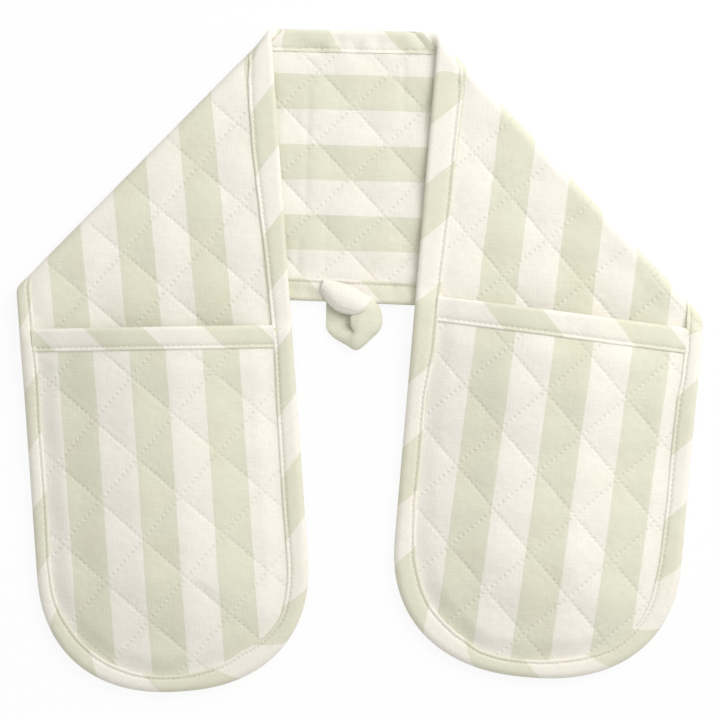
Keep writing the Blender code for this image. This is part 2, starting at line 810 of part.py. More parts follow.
def main():
    """Build the whole glove."""
    clear_scene()
    striped = cloth_material("striped_cotton", CREAM_COTTON, 0.9)
    materials = {
        "face": striped,
        "back": striped,
        "wadding": cloth_material("cotton_wadding", WADDING_WHITE, 0.95),
        "lining": cloth_material("pocket_lining_cotton", LINING_CREAM, 0.9),
        "binding": cloth_material("bias_binding", GREEN_COTTON, 0.9),
    }
    left = Arm("left", -1, LEFT_CREASE_REACH, LEFT_CREASE_SLOPE, LEFT_AXIS_REACH, LEFT_LEAN,
               LEFT_HALF_WIDTH, LEFT_LENGTH, LEFT_HAND_DEPTH, LEFT_MOUTH_AT, LEFT_MOUTH_SLOPE,
               LEFT_SAG_START, (LEFT_QUILT_ACROSS, LEFT_QUILT_DOWN),
               (LEFT_POCKET_QUILT_ACROSS, LEFT_POCKET_QUILT_DOWN))
    right = Arm("right", 1, RIGHT_CREASE_REACH, RIGHT_CREASE_SLOPE, RIGHT_AXIS_REACH, RIGHT_LEAN,
                RIGHT_HALF_WIDTH, RIGHT_LENGTH, RIGHT_HAND_DEPTH, RIGHT_MOUTH_AT,
                RIGHT_MOUTH_SLOPE, RIGHT_SAG_START, (RIGHT_QUILT_ACROSS, RIGHT_QUILT_DOWN),
                (RIGHT_POCKET_QUILT_ACROSS, RIGHT_POCKET_QUILT_DOWN))
    outline = build_neck(left, right, materials)
    for arm in (left, right):
        arm.build(materials)
        build_fold(arm, outline, materials)
    build_loop(outline, materials["binding"])


main()
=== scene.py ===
"""The looks of the double oven glove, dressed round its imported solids. Metres, +Z up."""

import math

import bmesh
import bpy
import numpy as np
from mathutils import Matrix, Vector


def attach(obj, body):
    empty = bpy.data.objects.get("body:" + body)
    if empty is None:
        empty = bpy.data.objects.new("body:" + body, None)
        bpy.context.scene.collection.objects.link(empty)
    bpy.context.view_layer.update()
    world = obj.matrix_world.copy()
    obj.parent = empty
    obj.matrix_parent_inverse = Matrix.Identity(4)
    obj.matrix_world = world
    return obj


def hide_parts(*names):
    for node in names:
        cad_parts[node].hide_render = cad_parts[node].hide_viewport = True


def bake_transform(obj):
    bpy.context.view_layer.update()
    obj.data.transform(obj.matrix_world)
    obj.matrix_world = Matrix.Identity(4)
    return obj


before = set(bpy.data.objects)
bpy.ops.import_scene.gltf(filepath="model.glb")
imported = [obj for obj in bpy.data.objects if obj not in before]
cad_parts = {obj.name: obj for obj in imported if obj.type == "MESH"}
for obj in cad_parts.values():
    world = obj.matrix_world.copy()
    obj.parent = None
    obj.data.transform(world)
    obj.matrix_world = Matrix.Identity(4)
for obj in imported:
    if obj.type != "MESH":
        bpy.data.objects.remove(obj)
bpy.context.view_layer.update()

# Photograph: its size in pixels, and the pixel that lies over the origin
PHOTO_SIDE_PX = 720
METRES_PER_PX = 0.00061
ORIGIN_PX = (352.0, 166.5)

# Heights of the quilted band above its own base
BAND_TOP = 0.005
BAND_CHANNEL = 0.003
BACK_CHANNEL = 0.0007
EDGE_TOP = 0.0038
EDGE_UNDER = 0.0011

# Smallest distances, and the angle in degrees from which an edge is sharp
CLEARANCE = 0.0003
SLIVER = 0.0001
SHARP_FROM = 55

# Quilted pocket panel above the lining's own height
POCKET_TOP = 0.0047
POCKET_CHANNEL = 0.0029
POCKET_EDGE_TOP = 0.0026
POCKET_REST = 0.0062
POCKET_EDGE_REST = 0.0042
POCKET_HOLLOW = 0.0088
CROWN_FULL_AT = 0.062

# Bias tape
NECK_TAPE_WIDTH = 0.0138
TAPE_RISE = 0.0002
BAND_TAPE_HEIGHT = 0.0047
POCKET_TAPE_HEIGHT = 0.0076
MOUTH_TAPE_HEIGHT = 0.0042
TAPE_THICKENS_FROM = -0.004
TAPE_THICKENS_TO = 0.006
STITCH_INSET = 0.0024
CLOTH_TUCK = 0.004
MOUTH_TUCK = 0.0015
MOUTH_TAPE_SINK = 0.0008
STATION_SPACING = 0.0026
TAPE_STRIPE_SPACING = 0.038
BEYOND_EDGE = 0.0118

# Quilting and stitches
NECK_PITCH = 0.0307
ARM_PITCH = 0.035
CELLS_PER_PITCH = 26
CELL_CROWDING = 0.55
CELLS_BEYOND = 3
QUILT_LINES = 14
PUFF_SHARPNESS = 0.82
EDGE_PUFF_WIDTH = 0.009
POCKET_PUFF_WIDTH = 0.013
QUILT_STITCH = 0.0035
TAPE_STITCH = 0.0033
THREAD_RADIUS = 0.00022

# Creases of the band
HINGE_HEIGHT = 0.00515
CUT_BACK = 0.0003
ARM_LIFT = 0.0053
SAG_LENGTH = 0.067
HAND_SQUARENESS = 2.3
FOLD_TURNS = 12

# The crease pads and tapes
FOLD_STATIONS = 180
FOLD_RADIUS = 0.005
FOLD_FILLED = 0.8
CREASE_REACH = 0.014
CORNER_PUFF = 0.0014
CORNER_SIZE = 0.006
SLANT_LENGTH = 0.026
HAND_STEPS = 26
TAPE_HAND_STEPS = 78

# Neck
NECK_TOP = 0.0835
NECK_TOP_SLOPE = 1.2
NECK_BOTTOM = 0.083
NECK_BOTTOM_SLOPE = 2.4
NECK_QUILT_PLACE = (-0.0012, -0.007)
NECK_QUILT_TURN = 2.4
NECK_STRIPES = ((350, 74.5), 178.4, 0.0215)
NECK_BLEND = 0.06
NECK_CREASE_WIDTH = 0.0018
CREASE_FADE_SHARES = (-0.1, 0.2, 0.8, 1.1)
NECK_CREASES = (((309, 75), (305, 215), 0.0005), ((300, 235), (295, 278), 0.0006),
                ((326, 215), (324, 278), 0.0004), ((404, 60), (404, 120), 0.0004),
                ((410, 27), (431, 54), 0.0017), ((296, 33), (312, 52), 0.0006))

# Dents at the neck's edges: pixel, size and depth
NECK_DENTS = (((294, 45), 0.004, 0.0018), ((309, 47), 0.0035, 0.0016), ((320, 48), 0.004, 0.0022),
              ((338, 41), 0.004, 0.0017), ((356, 46), 0.0045, 0.0019), ((378, 42), 0.0045, 0.0017),
              ((398, 46), 0.0045, 0.0017), ((292, 288), 0.004, 0.0018), ((308, 292), 0.004, 0.0016),
              ((392, 289), 0.005, 0.0017), ((412, 288), 0.004, 0.0014))

# Tape sections: shares of the flank and of the ridge, with drops as shares of the groove. A wave
# has a length, a seed and a share.
ROLL_TURNS = 8
ROLL_REACH = 1.25
ROLL_FULLNESS = 0.9
GROOVE_DROP = 0.0009
TAPE_SWELL = 0.00028
TAPE_WAVES = ((0.021, 1.3, 1.0), (0.009, 4.1, 0.6))
TAPE_FLANK_SHARES = ((0.2, 0.0), (0.4, 0.0), (0.6, 0.06), (0.8, 0.25), (0.92, 0.6), (1.0, 1.0))
TAPE_RIDGE_SHARES = ((0.3, 0.45), (0.6, 0.2), (0.9, 0.4), (0.99, 1.0), (1.0, 1.5))

# Pixels of each tape's edge where its stripes change. The first change starts a green one.
NECK_TAPE_CHANGES_PX = (((272, 29), (328, 30), (382, 31), (440, 32)),
                        ((273, 300), (329, 303), (385, 305), (441, 308)))
NECK_TAPE_SLANTS = (0.6, -0.95)
LEFT_TAPE_CHANGES_PX = ((274, 78), (277, 141), (281, 207), (288, 264), (293, 327), (296, 387),
                        (300, 449), (303, 511), (309, 583), (291, 641), (243, 677), (163, 692),
                        (103, 680), (56, 628), (36, 580), (29, 517), (26, 455), (22, 394), (18, 331))
LEFT_MOUTH_CHANGES_PX = ((-39, 330), (21, 329), (81, 328), (142, 327), (200, 327), (255, 326), (315, 325))
LEFT_TAPE_SLANTS = (1.15, 0.95)
RIGHT_TAPE_CHANGES_PX = ((433, 78), (432, 127), (427, 189), (421, 244), (415, 308), (406, 386),
                         (401, 448), (397, 509), (397, 567), (430, 632), (478, 668), (545, 679),
                         (612, 665), (661, 627), (681, 560), (688, 497), (694, 437), (700, 375),
                         (703, 315))
RIGHT_MOUTH_CHANGES_PX = ((350, 285), (415, 293), (480, 299), (540, 306), (612, 316), (665, 324),
                          (725, 332))
RIGHT_TAPE_SLANTS = (-0.95, 0.96)

# Pixels of the inner border of each arm's tape, from the crease down, round the hand and up
LEFT_TAPE_INNER_PX = ((247, 40), (247, 60), (248.5, 100), (252, 150), (258, 200), (264, 250), (269, 300),
                      (274, 350), (276, 400), (279, 450), (282, 500), (286, 550), (286, 590),
                      (278, 620), (262, 638), (240, 652), (210, 668), (180, 675), (150, 675),
                      (125, 669), (100, 657), (85, 645), (70, 627), (60, 610), (54, 590), (50, 560),
                      (48, 520), (47, 500), (44, 460), (41, 420), (39.5, 380), (36, 340), (31.5, 300))
RIGHT_TAPE_INNER_PX = ((464, 60), (462, 100), (456.5, 150), (452, 200), (446, 250), (440, 300),
                       (435, 350), (426, 400), (421, 460), (417, 500), (416, 540), (421, 580),
                       (430, 603), (440, 616), (452, 628), (467, 640), (482, 650), (500, 656),
                       (530, 660), (560, 659), (590, 654), (610, 648), (625, 637), (640, 620),
                       (650, 600), (655, 580), (661, 550), (667, 500), (672, 440), (676, 400),
                       (680, 380), (684, 350), (686, 320))

# Each arm: its crease, axis, outline, pocket, quilting, stripes and tapes. Stripes are given by a
# pixel on a stripe's edge, their direction in degrees and their width.
LEFT_ARM = {
    "crease_reach": 0.1325, "crease_slope": 45.3, "axis_reach": 0.1268, "lean": 4.0,
    "half_width": 0.083, "length": 0.3214, "hand_depth": 0.078,
    "mouth_at": 0.098, "mouth_slope": 1.0, "sag_start": -0.012,
    "quilt_place": (-0.0329, 0.002), "pocket_quilt_place": (0.0161, 0.177),
    "stripes": ((125.5, 320), -84.5, 0.0217), "pocket_stripes": ((58, 352), -86.1, 0.0221),
    "inner_px": LEFT_TAPE_INNER_PX, "mouth_tape_width": 0.0142,
    "changes_px": (LEFT_TAPE_CHANGES_PX, LEFT_MOUTH_CHANGES_PX), "slants": LEFT_TAPE_SLANTS}
RIGHT_ARM = {
    "crease_reach": 0.1279, "crease_slope": 46.7, "axis_reach": 0.1339, "lean": 4.9,
    "half_width": 0.088, "length": 0.3131, "hand_depth": 0.0787,
    "mouth_at": 0.0895, "mouth_slope": 7.4, "sag_start": 0.026,
    "quilt_place": (-0.0358, 0.0211), "pocket_quilt_place": (-0.0298, 0.1626),
    "stripes": ((480, 280), -97.0, 0.0233), "pocket_stripes": ((473, 350), -97.6, 0.0238),
    "inner_px": RIGHT_TAPE_INNER_PX, "mouth_tape_width": 0.0156,
    "changes_px": (RIGHT_TAPE_CHANGES_PX, RIGHT_MOUTH_CHANGES_PX), "slants": RIGHT_TAPE_SLANTS}

# Filling, and the waves of its unevenness
UNEVEN_FILLING = 0.0003
PUCKER = 0.0012
FILLING_WAVE = 0.05
PUCKER_WAVE = 0.007
PUCKER_SEED = 1.4
BAND_SEED = 0.7
POCKET_SEED = 3.3
RIPPLE_SHARES = (0.65, 0.82, 0.99, 1.16, 1.33, 1.5)
RIPPLE_TURN = 2.4
RIPPLE_PHASE = 1.7
RIPPLE_GAIN = 1.6

# Steps of the measured edge, and points handled at once
EDGE_SAMPLE = 0.003
CHUNK = 20000

# Hanging loop: pixels and heights of its two edges, and how far it bulges between them
LOOP_STATIONS = ((326, 299, 0.0012, 360, 302, 0.001, 0.0004), (326, 311, 0.001, 360, 312, 0.001, 0.0004),
                 (326, 320, 0.001, 360, 319, 0.001, 0.0004), (326, 328, 0.0014, 359, 325, 0.0014, 0.0006),
                 (333, 337, 0.0022, 357, 328, 0.003, 0.0012), (346, 345, 0.0028, 355, 329, 0.0044, 0.0018),
                 (357, 350, 0.003, 353, 329, 0.0056, 0.0022), (370, 340, 0.0032, 351, 327, 0.0064, 0.0024),
                 (381, 328, 0.0034, 350, 321, 0.007, 0.0026), (382, 315, 0.0038, 351, 316, 0.007, 0.0028),
                 (377, 303, 0.0046, 357, 315, 0.0066, 0.003), (366, 294, 0.0056, 350, 315, 0.0062, 0.0036),
                 (350, 285, 0.006, 337, 311, 0.006, 0.004), (335, 281, 0.0058, 327, 302, 0.0056, 0.0036),
                 (324, 279, 0.0054, 320, 291, 0.0054, 0.0014))
LOOP_STEPS = 6
LOOP_ACROSS = 14
LOOP_HALF_THICKNESS = 0.0009
LOOP_EDGE_SHARE = 0.25
LOOP_EDGE_SHARPNESS = 6
LOOP_BULGE_FULLNESS = 0.7
LOOP_SEAM_SHARE = 0.86
LOOP_SEAM_WIDTH_SHARE = 0.05
LOOP_SEAM_DEPTH = 0.0002
LOOP_CHANGES = (0.0, 0.052, 0.1)
LOOP_SLANT = -0.15

# Studio
FLOOR_SIDE = 6.0
FLOOR_GREY = (0.9, 0.9, 0.9, 1.0)
FLOOR_ROUGHNESS = 0.9
FLOOR_GLOW_SHARE = 0.9
SENSOR_WIDTH = 36
CAMERA_DISTANCE = 2.0
SHARP_HEIGHT = 0.008
LAMP_TARGET = (0, -0.12, 0)
KEY_PLACE = (0.9, 0.7, 1.1)
KEY_SIDE = 1.1
KEY_POWER = 18.7
KEY_COLOUR = (1.0, 0.99, 0.98)
SKY_STRENGTH = 0.65

# Colours
STRIPE_GREEN = (0.722, 0.716, 0.575, 1.0)
STRIPE_CREAM = (0.855, 0.824, 0.742, 1.0)
WARM_TINT = (1.0, 0.98, 0.955, 1.0)
THREAD_COLOUR = (0.86, 0.84, 0.76, 1.0)
LINING_COLOUR = (0.84, 0.82, 0.74, 1.0)
WHITE = (1.0, 1.0, 1.0, 1.0)

# Cloth: the waves of each noise in a stripe's width, and how much it changes
SWAY_STRETCH = (1.3, 0.9, 1.0)
SWAY = 0.05
FUZZ_STRETCH = (40.0, 40.0, 1.0)
FUZZ = 0.03
STRIPE_BLUR = 0.01
WARP_STRETCH = (42.0, 2.6, 1.0)
WEFT_STRETCH = (2.6, 42.0, 1.0)
YARN_DETAIL = 3.0
YARN_SHADE = 0.16
LINING_SHADE = 0.14
BLOTCH_STRETCH = (0.55, 0.55, 1.0)
BLOTCH_FROM = 0.45
BLOTCH_TO = 0.8
THREADS = 240.0
WEAVE_BUMP = 0.00002
YARN_BUMP = 0.00022
LINING_BUMP = 0.0003
STRIPED_BUMP_STRENGTH = 0.8
LINING_BUMP_STRENGTH = 0.6
STRIPED_ROUGHNESS = (0.12, 0.82)
LINING_ROUGHNESS = (0.1, 0.84)
COTTON_SHEEN = 0.12
COTTON_SPECULAR = 0.25

# Needle holes, darkened with painted shade and pressed in with a bump, and the creases that the threads
# draw in
HOLE_FROM = 0.0001
HOLE_TO = 0.00055
HOLE_BUMP = 0.00008
HOLE_PAINTED_SHADE = 0.11
TAPE_HOLE_PAINTED_SHADE = 0.03
DRAWN_IN = 0.0004
TAPE_DRAWN_IN = 0.0002
DRAWN_REACH = 0.0019
DRAWN_BEAT = 0.34
DRAWN_SHARE = 0.5

# Thread
PLY_SCALE = 900.0
PLY_SHADE = (0.12, 0.9)
PLY_ROUGHNESS = (-0.15, 0.75)
PLY_BUMP = 0.0002
PLY_BUMP_STRENGTH = 0.4

# A stitch: shares of its half length and radius at each of its cross sections
STITCH_SHARES = ((-1.0, 0.0), (-0.55, 1.0), (0.55, 1.0), (1.0, 0.0))
STITCH_SIDES = 4
STITCH_SHARE = 0.34


def px(x, y):
    """The place in plan of a pixel of the photograph."""
    return np.array((x - ORIGIN_PX[0], ORIGIN_PX[1] - y)) * METRES_PER_PX


def heading(degrees):
    """The unit direction in plan at an angle from +X, anticlockwise."""
    turn = math.radians(degrees)
    return np.array((math.cos(turn), math.sin(turn)))


def square_to(direction):
    """The direction a quarter turn anticlockwise."""
    return np.array((-direction[1], direction[0]))


def ramp(value, low, high):
    """0 up to low, 1 from high on, straight in between."""
    return np.clip((value - low) / (high - low), 0, 1)


def smooth(share):
    """An even step from 0 to 1."""
    return share * share * (3 - 2 * share)


def ripple(points, wavelength, seed):
    """Gentle unevenness between -1 and 1 over plan."""
    total = np.zeros(len(points))
    for index, share in enumerate(RIPPLE_SHARES):
        turn = seed + index * RIPPLE_TURN
        direction = np.array((math.cos(turn), math.sin(turn)))
        count = 2 * math.pi / wavelength * share
        total += np.sin(points @ direction * count + seed * (index + 1) * RIPPLE_PHASE)
    return total / len(RIPPLE_SHARES) * RIPPLE_GAIN


class Line:
    """A straight line in plan with a normal that points out of the piece."""

    def __init__(self, point, direction, inside):
        self.point = np.array(point, float)
        self.direction = np.array(direction, float) / np.linalg.norm(direction)
        self.normal = square_to(self.direction)
        if (np.array(inside) - self.point) @ self.normal > 0:
            self.normal = -self.normal

    def depth(self, points):
        """How far points lie inside the line."""
        return (self.point - points) @ self.normal

    def inset(self, distance):
        """The same line moved inward."""
        return Line(self.point - self.normal * distance, self.direction,
                    self.point - self.normal * (distance + 1))

    def mirror(self, points):
        """Points reflected in the line."""
        return points + 2 * self.depth(points)[:, None] * self.normal

    def facing(self, ends):
        """1 where the inside lies to the left of the way from one end to the other, or -1."""
        return -1 if self.normal @ square_to(ends[1] - ends[0]) > 0 else 1

    def meet(self, other):
        """The point where two lines cross."""
        rows = np.array((self.normal, other.normal))
        return np.linalg.solve(rows, (self.normal @ self.point, other.normal @ other.point))


class Quilt:
    """Two sets of stitch lines that cross square to each other."""

    def __init__(self, origin, degrees, pitch):
        self.origin = np.array(origin, float)
        self.pitch = pitch
        self.first = heading(degrees)
        self.second = square_to(self.first)

    def units(self, points):
        """Places in pitches along the two sets. Whole numbers lie on stitch lines."""
        away = (points - self.origin) / self.pitch
        return np.stack((away @ self.first, away @ self.second), axis=1)

    def place(self, units):
        """The plan points at places given in pitches."""
        return self.origin + (units[:, :1] * self.first + units[:, 1:] * self.second) * self.pitch

    def puff(self, points):
        """0 on the stitch lines, 1 in the middle of each diamond."""
        units = self.units(points)
        return np.prod(np.abs(np.sin(np.pi * units)), axis=1) ** PUFF_SHARPNESS


class Stripes:
    """The cloth's own directions: u across the stripes in stripe widths, v along them."""

    def __init__(self, edge_px, along_degrees, width):
        self.edge = px(*edge_px)
        self.along = heading(along_degrees)
        self.across = square_to(self.along)
        self.width = width

    def uv(self, points):
        """Places in stripe widths. Green runs from each even number to the next odd one."""
        away = (points - self.edge) / self.width
        return np.stack((away @ self.across, away @ self.along), axis=1)


def convex_depth(lines, points):
    """Distance from points to the nearest of the lines."""
    return np.min([line.depth(points) for line in lines], axis=0)


def quilted_grid(quilt, sides):
    """A flat grid that follows the stitch lines, cut to a convex outline."""
    corners = np.array([side.meet(sides[index - 1]) for index, side in enumerate(sides)])
    units = quilt.units(corners)
    low = np.floor(units.min(axis=0)).astype(int) * CELLS_PER_PITCH
    high = np.ceil(units.max(axis=0)).astype(int) * CELLS_PER_PITCH
    columns, rows = np.meshgrid(np.arange(low[0], high[0] + 1), np.arange(low[1], high[1] + 1))
    shape = columns.shape
    steps = np.stack((columns.ravel(), rows.ravel()), axis=1) / CELLS_PER_PITCH
    steps -= CELL_CROWDING * np.sin(2 * np.pi * steps) / (2 * np.pi)
    points = quilt.place(steps)
    near = convex_depth(sides, points) > -quilt.pitch / CELLS_PER_PITCH * CELLS_BEYOND
    number = np.arange(len(points)).reshape(shape)
    quads = np.stack((number[:-1, :-1], number[:-1, 1:], number[1:, 1:], number[1:, :-1]), axis=-1)
    quads = quads.reshape(-1, 4)
    quads = quads[near[quads].all(axis=1)]
    used, quads = np.unique(quads, return_inverse=True)
    bm = bmesh.new()
    verts = [bm.verts.new((x, y, 0)) for x, y in points[used]]
    for quad in quads.reshape(-1, 4):
        bm.faces.new([verts[index] for index in quad])
    for side in sides:
        geometry = bm.verts[:] + bm.edges[:] + bm.faces[:]
        bmesh.ops.bisect_plane(bm, geom=geometry, dist=SLIVER, clear_outer=True,
                               plane_co=(*side.point, 0), plane_no=(*side.normal, 0))
    return bm


def plan_of(verts):
    """The plan points of some vertices as an array."""
    return np.array([vert.co.xy for vert in verts]).reshape(-1, 2)


def new_piece(name, bm, materials, uv_maps=()):
    """Turn a bmesh into a smooth piece. A UV map is a name and one place for each vertex."""
    bmesh.ops.recalc_face_normals(bm, faces=bm.faces[:])
    mesh = bpy.data.meshes.new(name)
    bm.to_mesh(mesh)
    bm.free()
    for material in materials:
        mesh.materials.append(material)
    mesh.shade_smooth()
    mesh.set_sharp_from_angle(angle=math.radians(SHARP_FROM))
    corners = np.zeros(len(mesh.loops), int)
    mesh.loops.foreach_get("vertex_index", corners)
    for map_name, places in uv_maps:
        layer = mesh.uv_layers.new(name=map_name)
        layer.uv.foreach_set("vector", np.reshape(places, (-1, 2))[corners].ravel())
    piece = bpy.data.objects.new(name, mesh)
    bpy.context.scene.collection.objects.link(piece)
    return piece


def grid_faces(bm, rows, inward=False):
    """Faces between rows of vertices."""
    for row, following in zip(rows, rows[1:]):
        for index in range(len(row) - 1):
            corners = [row[index], row[index + 1], following[index + 1], following[index]]
            bm.faces.new(corners[::-1] if inward else corners)


def shell(name, outer, inner, materials, uv_maps):
    """A closed skin between two grids of points. A UV map is a name and one grid of places."""
    bm = bmesh.new()
    grids = [[[bm.verts.new(point) for point in row] for row in grid] for grid in (outer, inner)]
    grid_faces(bm, grids[0])
    first_inner = len(bm.faces)
    grid_faces(bm, grids[1], inward=True)
    bm.faces.ensure_lookup_table()
    for face in bm.faces[first_inner:]:
        face.material_index = len(materials) - 1
    rims = [(grid[0][::-1], grid[-1], [row[0] for row in grid], [row[-1] for row in grid][::-1])
            for grid in grids]
    for over_and_under in zip(*rims):
        grid_faces(bm, over_and_under)
    both = [(map_name, (places, places)) for map_name, places in uv_maps]
    return new_piece(name, bm, materials, both)


def tube(name, rings, material, uv_maps):
    """A closed skin over rings of points, with flat ends."""
    bm = bmesh.new()
    rows = [[bm.verts.new(point) for point in ring] for ring in rings]
    grid_faces(bm, [row + row[:1] for row in rows])
    bm.faces.new(rows[0])
    bm.faces.new(rows[-1][::-1])
    return new_piece(name, bm, [material], uv_maps)


def padded_panel(name, plan, top, under, materials, stripes, quilt, back_uv):
    """A closed quilted pad between two heights that are functions of plan points."""
    bm = plan.copy()
    made = bmesh.ops.extrude_face_region(bm, geom=bm.faces[:])["geom"]
    raised = [item for item in made if isinstance(item, bmesh.types.BMVert)]
    raised_set = set(raised)
    lower = [vert for vert in bm.verts if vert not in raised_set]
    for verts, height in ((raised, top), (lower, under)):
        for vert, z in zip(verts, height(plan_of(verts))):
            vert.co.z = z
    for face in bm.faces:
        if not any(vert in raised_set for vert in face.verts):
            face.material_index = 1
    points = plan_of(bm.verts)
    uv_maps = (("cloth", stripes.uv(points)), ("quilt", quilt.units(points)))
    piece = new_piece(name, bm, materials, uv_maps)
    print_back(piece.data, back_uv(points))
    return piece


def print_back(mesh, places):
    """Give the faces of the second material their own places in the cloth."""
    layer = mesh.uv_layers["cloth"]
    for face in mesh.polygons:
        if face.material_index:
            for corner in face.loop_indices:
                layer.uv[corner].vector = places[mesh.loops[corner].vertex_index]


class Graph:
    """Short ways to add and join the nodes of a material."""

    def __init__(self, name):
        self.material = bpy.data.materials.new(name)
        self.material.use_nodes = True
        self.tree = self.material.node_tree
        self.shader = self.tree.nodes["Principled BSDF"]

    def add(self, kind, values=(), **settings):
        """A node with settings, and values or links for its inputs by name or number."""
        node = self.tree.nodes.new(kind)
        for key, value in settings.items():
            setattr(node, key, value)
        for key, value in dict(values).items():
            self.feed(node.inputs[key], value)
        return node

    def feed(self, socket, value):
        """Set an input, or link an output to it."""
        if isinstance(value, bpy.types.NodeSocket):
            self.tree.links.new(value, socket)
        else:
            socket.default_value = value

    def math(self, operation, first, second=0.0, third=0.0):
        """One sum."""
        return self.add("ShaderNodeMath", {0: first, 1: second, 2: third},
                        operation=operation).outputs[0]

    def scaled(self, value, factor, offset=0.0):
        """A value times a factor, plus an offset."""
        return self.math("MULTIPLY_ADD", value, factor, offset)

    def centred(self, value, amount):
        """A value between 0 and 1 as a change of up to half the amount either way."""
        return self.scaled(value, amount, -amount / 2)

    def step(self, value, low, high, start=0.0, end=1.0):
        """A smooth step between two values."""
        node = self.add("ShaderNodeMapRange", {"Value": value, "From Min": low, "From Max": high,
                                               "To Min": start, "To Max": end},
                        interpolation_type="SMOOTHSTEP")
        return node.outputs["Result"]

    def mix(self, share, first, second, blend="MIX"):
        """Two colours mixed."""
        node = self.add("ShaderNodeMix", {"Factor": share, 6: first, 7: second},
                        data_type="RGBA", blend_type=blend)
        return node.outputs[2]

    def uv(self, name):
        """The two numbers of a UV map, and the whole vector."""
        vector = self.add("ShaderNodeUVMap", uv_map=name).outputs[0]
        parts = self.add("ShaderNodeSeparateXYZ", {0: vector})
        return parts.outputs[0], parts.outputs[1], vector

    def noise(self, vector, stretch, detail=2.0):
        """Noise over a vector that is stretched first."""
        moved = self.add("ShaderNodeMapping", {"Vector": vector, "Scale": stretch})
        return self.add("ShaderNodeTexNoise", {"Vector": moved.outputs[0], "Scale": 1.0,
                                               "Detail": detail}).outputs["Fac"]

    def weave(self, cloth):
        """Noise that runs with the warp, and noise that runs with the weft."""
        return self.noise(cloth, WARP_STRETCH, YARN_DETAIL), self.noise(cloth, WEFT_STRETCH, YARN_DETAIL)

    def yarn_shade(self, warp, weft, depth):
        """A shade round 1 from both yarns."""
        return self.math("ADD", self.scaled(warp, depth, 1 - depth / 2), self.centred(weft, depth))

    def surface(self, colour, shade, roughness, height, strength, distance=1.0):
        """Give the shader a colour times a shade, a roughness and a bump."""
        grey = self.add("ShaderNodeCombineColor", {0: shade, 1: shade, 2: shade}).outputs[0]
        bump = self.add("ShaderNodeBump", {"Strength": strength, "Distance": distance, "Height": height})
        self.feed(self.shader.inputs["Base Color"], self.mix(1.0, colour, grey, "MULTIPLY"))
        self.feed(self.shader.inputs["Roughness"], roughness)
        self.feed(self.shader.inputs["Normal"], bump.outputs[0])
        return self.material


def stitch_holes(graph, pitch, step, crossing):
    """Masks of the needle holes, which take painted shade and a bump, and of the creases that the threads
    draw in.
    """
    first, second, _ = graph.uv("quilt")
    holes = 0.0
    creases = 0.0
    for square, along in ((first, second), (second, first)) if crossing else ((first, second),):
        off = graph.scaled(graph.math("PINGPONG", square, 0.5), pitch)
        steps = graph.scaled(along, pitch / step)
        between = graph.scaled(graph.math("PINGPONG", steps, 0.5), step)
        away = graph.math("SQRT", graph.math("MULTIPLY_ADD", off, off,
                                             graph.math("MULTIPLY", between, between)))
        beat = graph.math("COSINE", graph.scaled(steps, 2 * math.pi))
        hole = graph.step(away, HOLE_FROM, HOLE_TO, 1.0, 0.0)
        near = graph.step(off, 0.0, DRAWN_REACH, 1.0, 0.0)
        crease = graph.math("MULTIPLY", near, graph.scaled(beat, DRAWN_BEAT, DRAWN_SHARE))
        holes = graph.math("MAXIMUM", holes, hole)
        creases = graph.math("MAXIMUM", creases, crease)
    return holes, creases


def striped_cotton(name, pitch, step, crossing=True, painted_hole_shade=HOLE_PAINTED_SHADE, drawn_in=DRAWN_IN):
    """Woven cotton with broad green and cream stripes, slubs in both yarns, and needle holes with painted
    shade in them.
    """
    graph = Graph(name)
    across, along, cloth = graph.uv("cloth")
    sway = graph.centred(graph.noise(cloth, SWAY_STRETCH), SWAY)
    fuzz = graph.centred(graph.noise(cloth, FUZZ_STRETCH), FUZZ)
    place = graph.math("ADD", graph.math("ADD", across, sway), fuzz)
    wave = graph.math("PINGPONG", graph.math("ADD", place, 0.5), 1.0)
    green = graph.step(wave, 0.5 - STRIPE_BLUR, 0.5 + STRIPE_BLUR)
    blotch = graph.step(graph.noise(cloth, BLOTCH_STRETCH), BLOTCH_FROM, BLOTCH_TO)
    colour = graph.mix(1.0, graph.mix(green, STRIPE_CREAM, STRIPE_GREEN),
                       graph.mix(blotch, WHITE, WARM_TINT), "MULTIPLY")
    warp, weft = graph.weave(cloth)
    holes, creases = stitch_holes(graph, pitch, step, crossing)
    # Painted shade darkens the cloth in the needle holes
    shade = graph.math("MULTIPLY", graph.yarn_shade(warp, weft, YARN_SHADE),
                       graph.scaled(holes, -painted_hole_shade, 1.0))
    threads = graph.math("ADD", graph.math("SINE", graph.scaled(across, THREADS)),
                         graph.math("SINE", graph.scaled(along, THREADS)))
    height = graph.scaled(graph.math("ADD", warp, weft), YARN_BUMP)
    for part, bump in ((threads, WEAVE_BUMP), (holes, -HOLE_BUMP), (creases, -drawn_in)):
        height = graph.scaled(part, bump, height)
    graph.shader.inputs["Sheen Weight"].default_value = COTTON_SHEEN
    graph.shader.inputs["Specular IOR Level"].default_value = COTTON_SPECULAR
    return graph.surface(colour, shade, graph.scaled(warp, *STRIPED_ROUGHNESS), height,
                         STRIPED_BUMP_STRENGTH)


def plain_cotton(name, colour):
    """Plain woven cotton for the inside of the pockets."""
    graph = Graph(name)
    _, _, cloth = graph.uv("cloth")
    warp, weft = graph.weave(cloth)
    return graph.surface(colour, graph.yarn_shade(warp, weft, LINING_SHADE),
                         graph.scaled(warp, *LINING_ROUGHNESS), graph.scaled(weft, LINING_BUMP),
                         LINING_BUMP_STRENGTH)


def thread_cotton(name, colour):
    """Sewing thread with the twist of its plies."""
    graph = Graph(name)
    place = graph.add("ShaderNodeTexCoord").outputs["Object"]
    plies = graph.add("ShaderNodeTexWave", {"Vector": place, "Scale": PLY_SCALE, "Distortion": 1.0},
                      bands_direction="DIAGONAL").outputs["Fac"]
    return graph.surface(colour, graph.scaled(plies, *PLY_SHADE), graph.scaled(plies, *PLY_ROUGHNESS),
                         plies, PLY_BUMP_STRENGTH, PLY_BUMP)


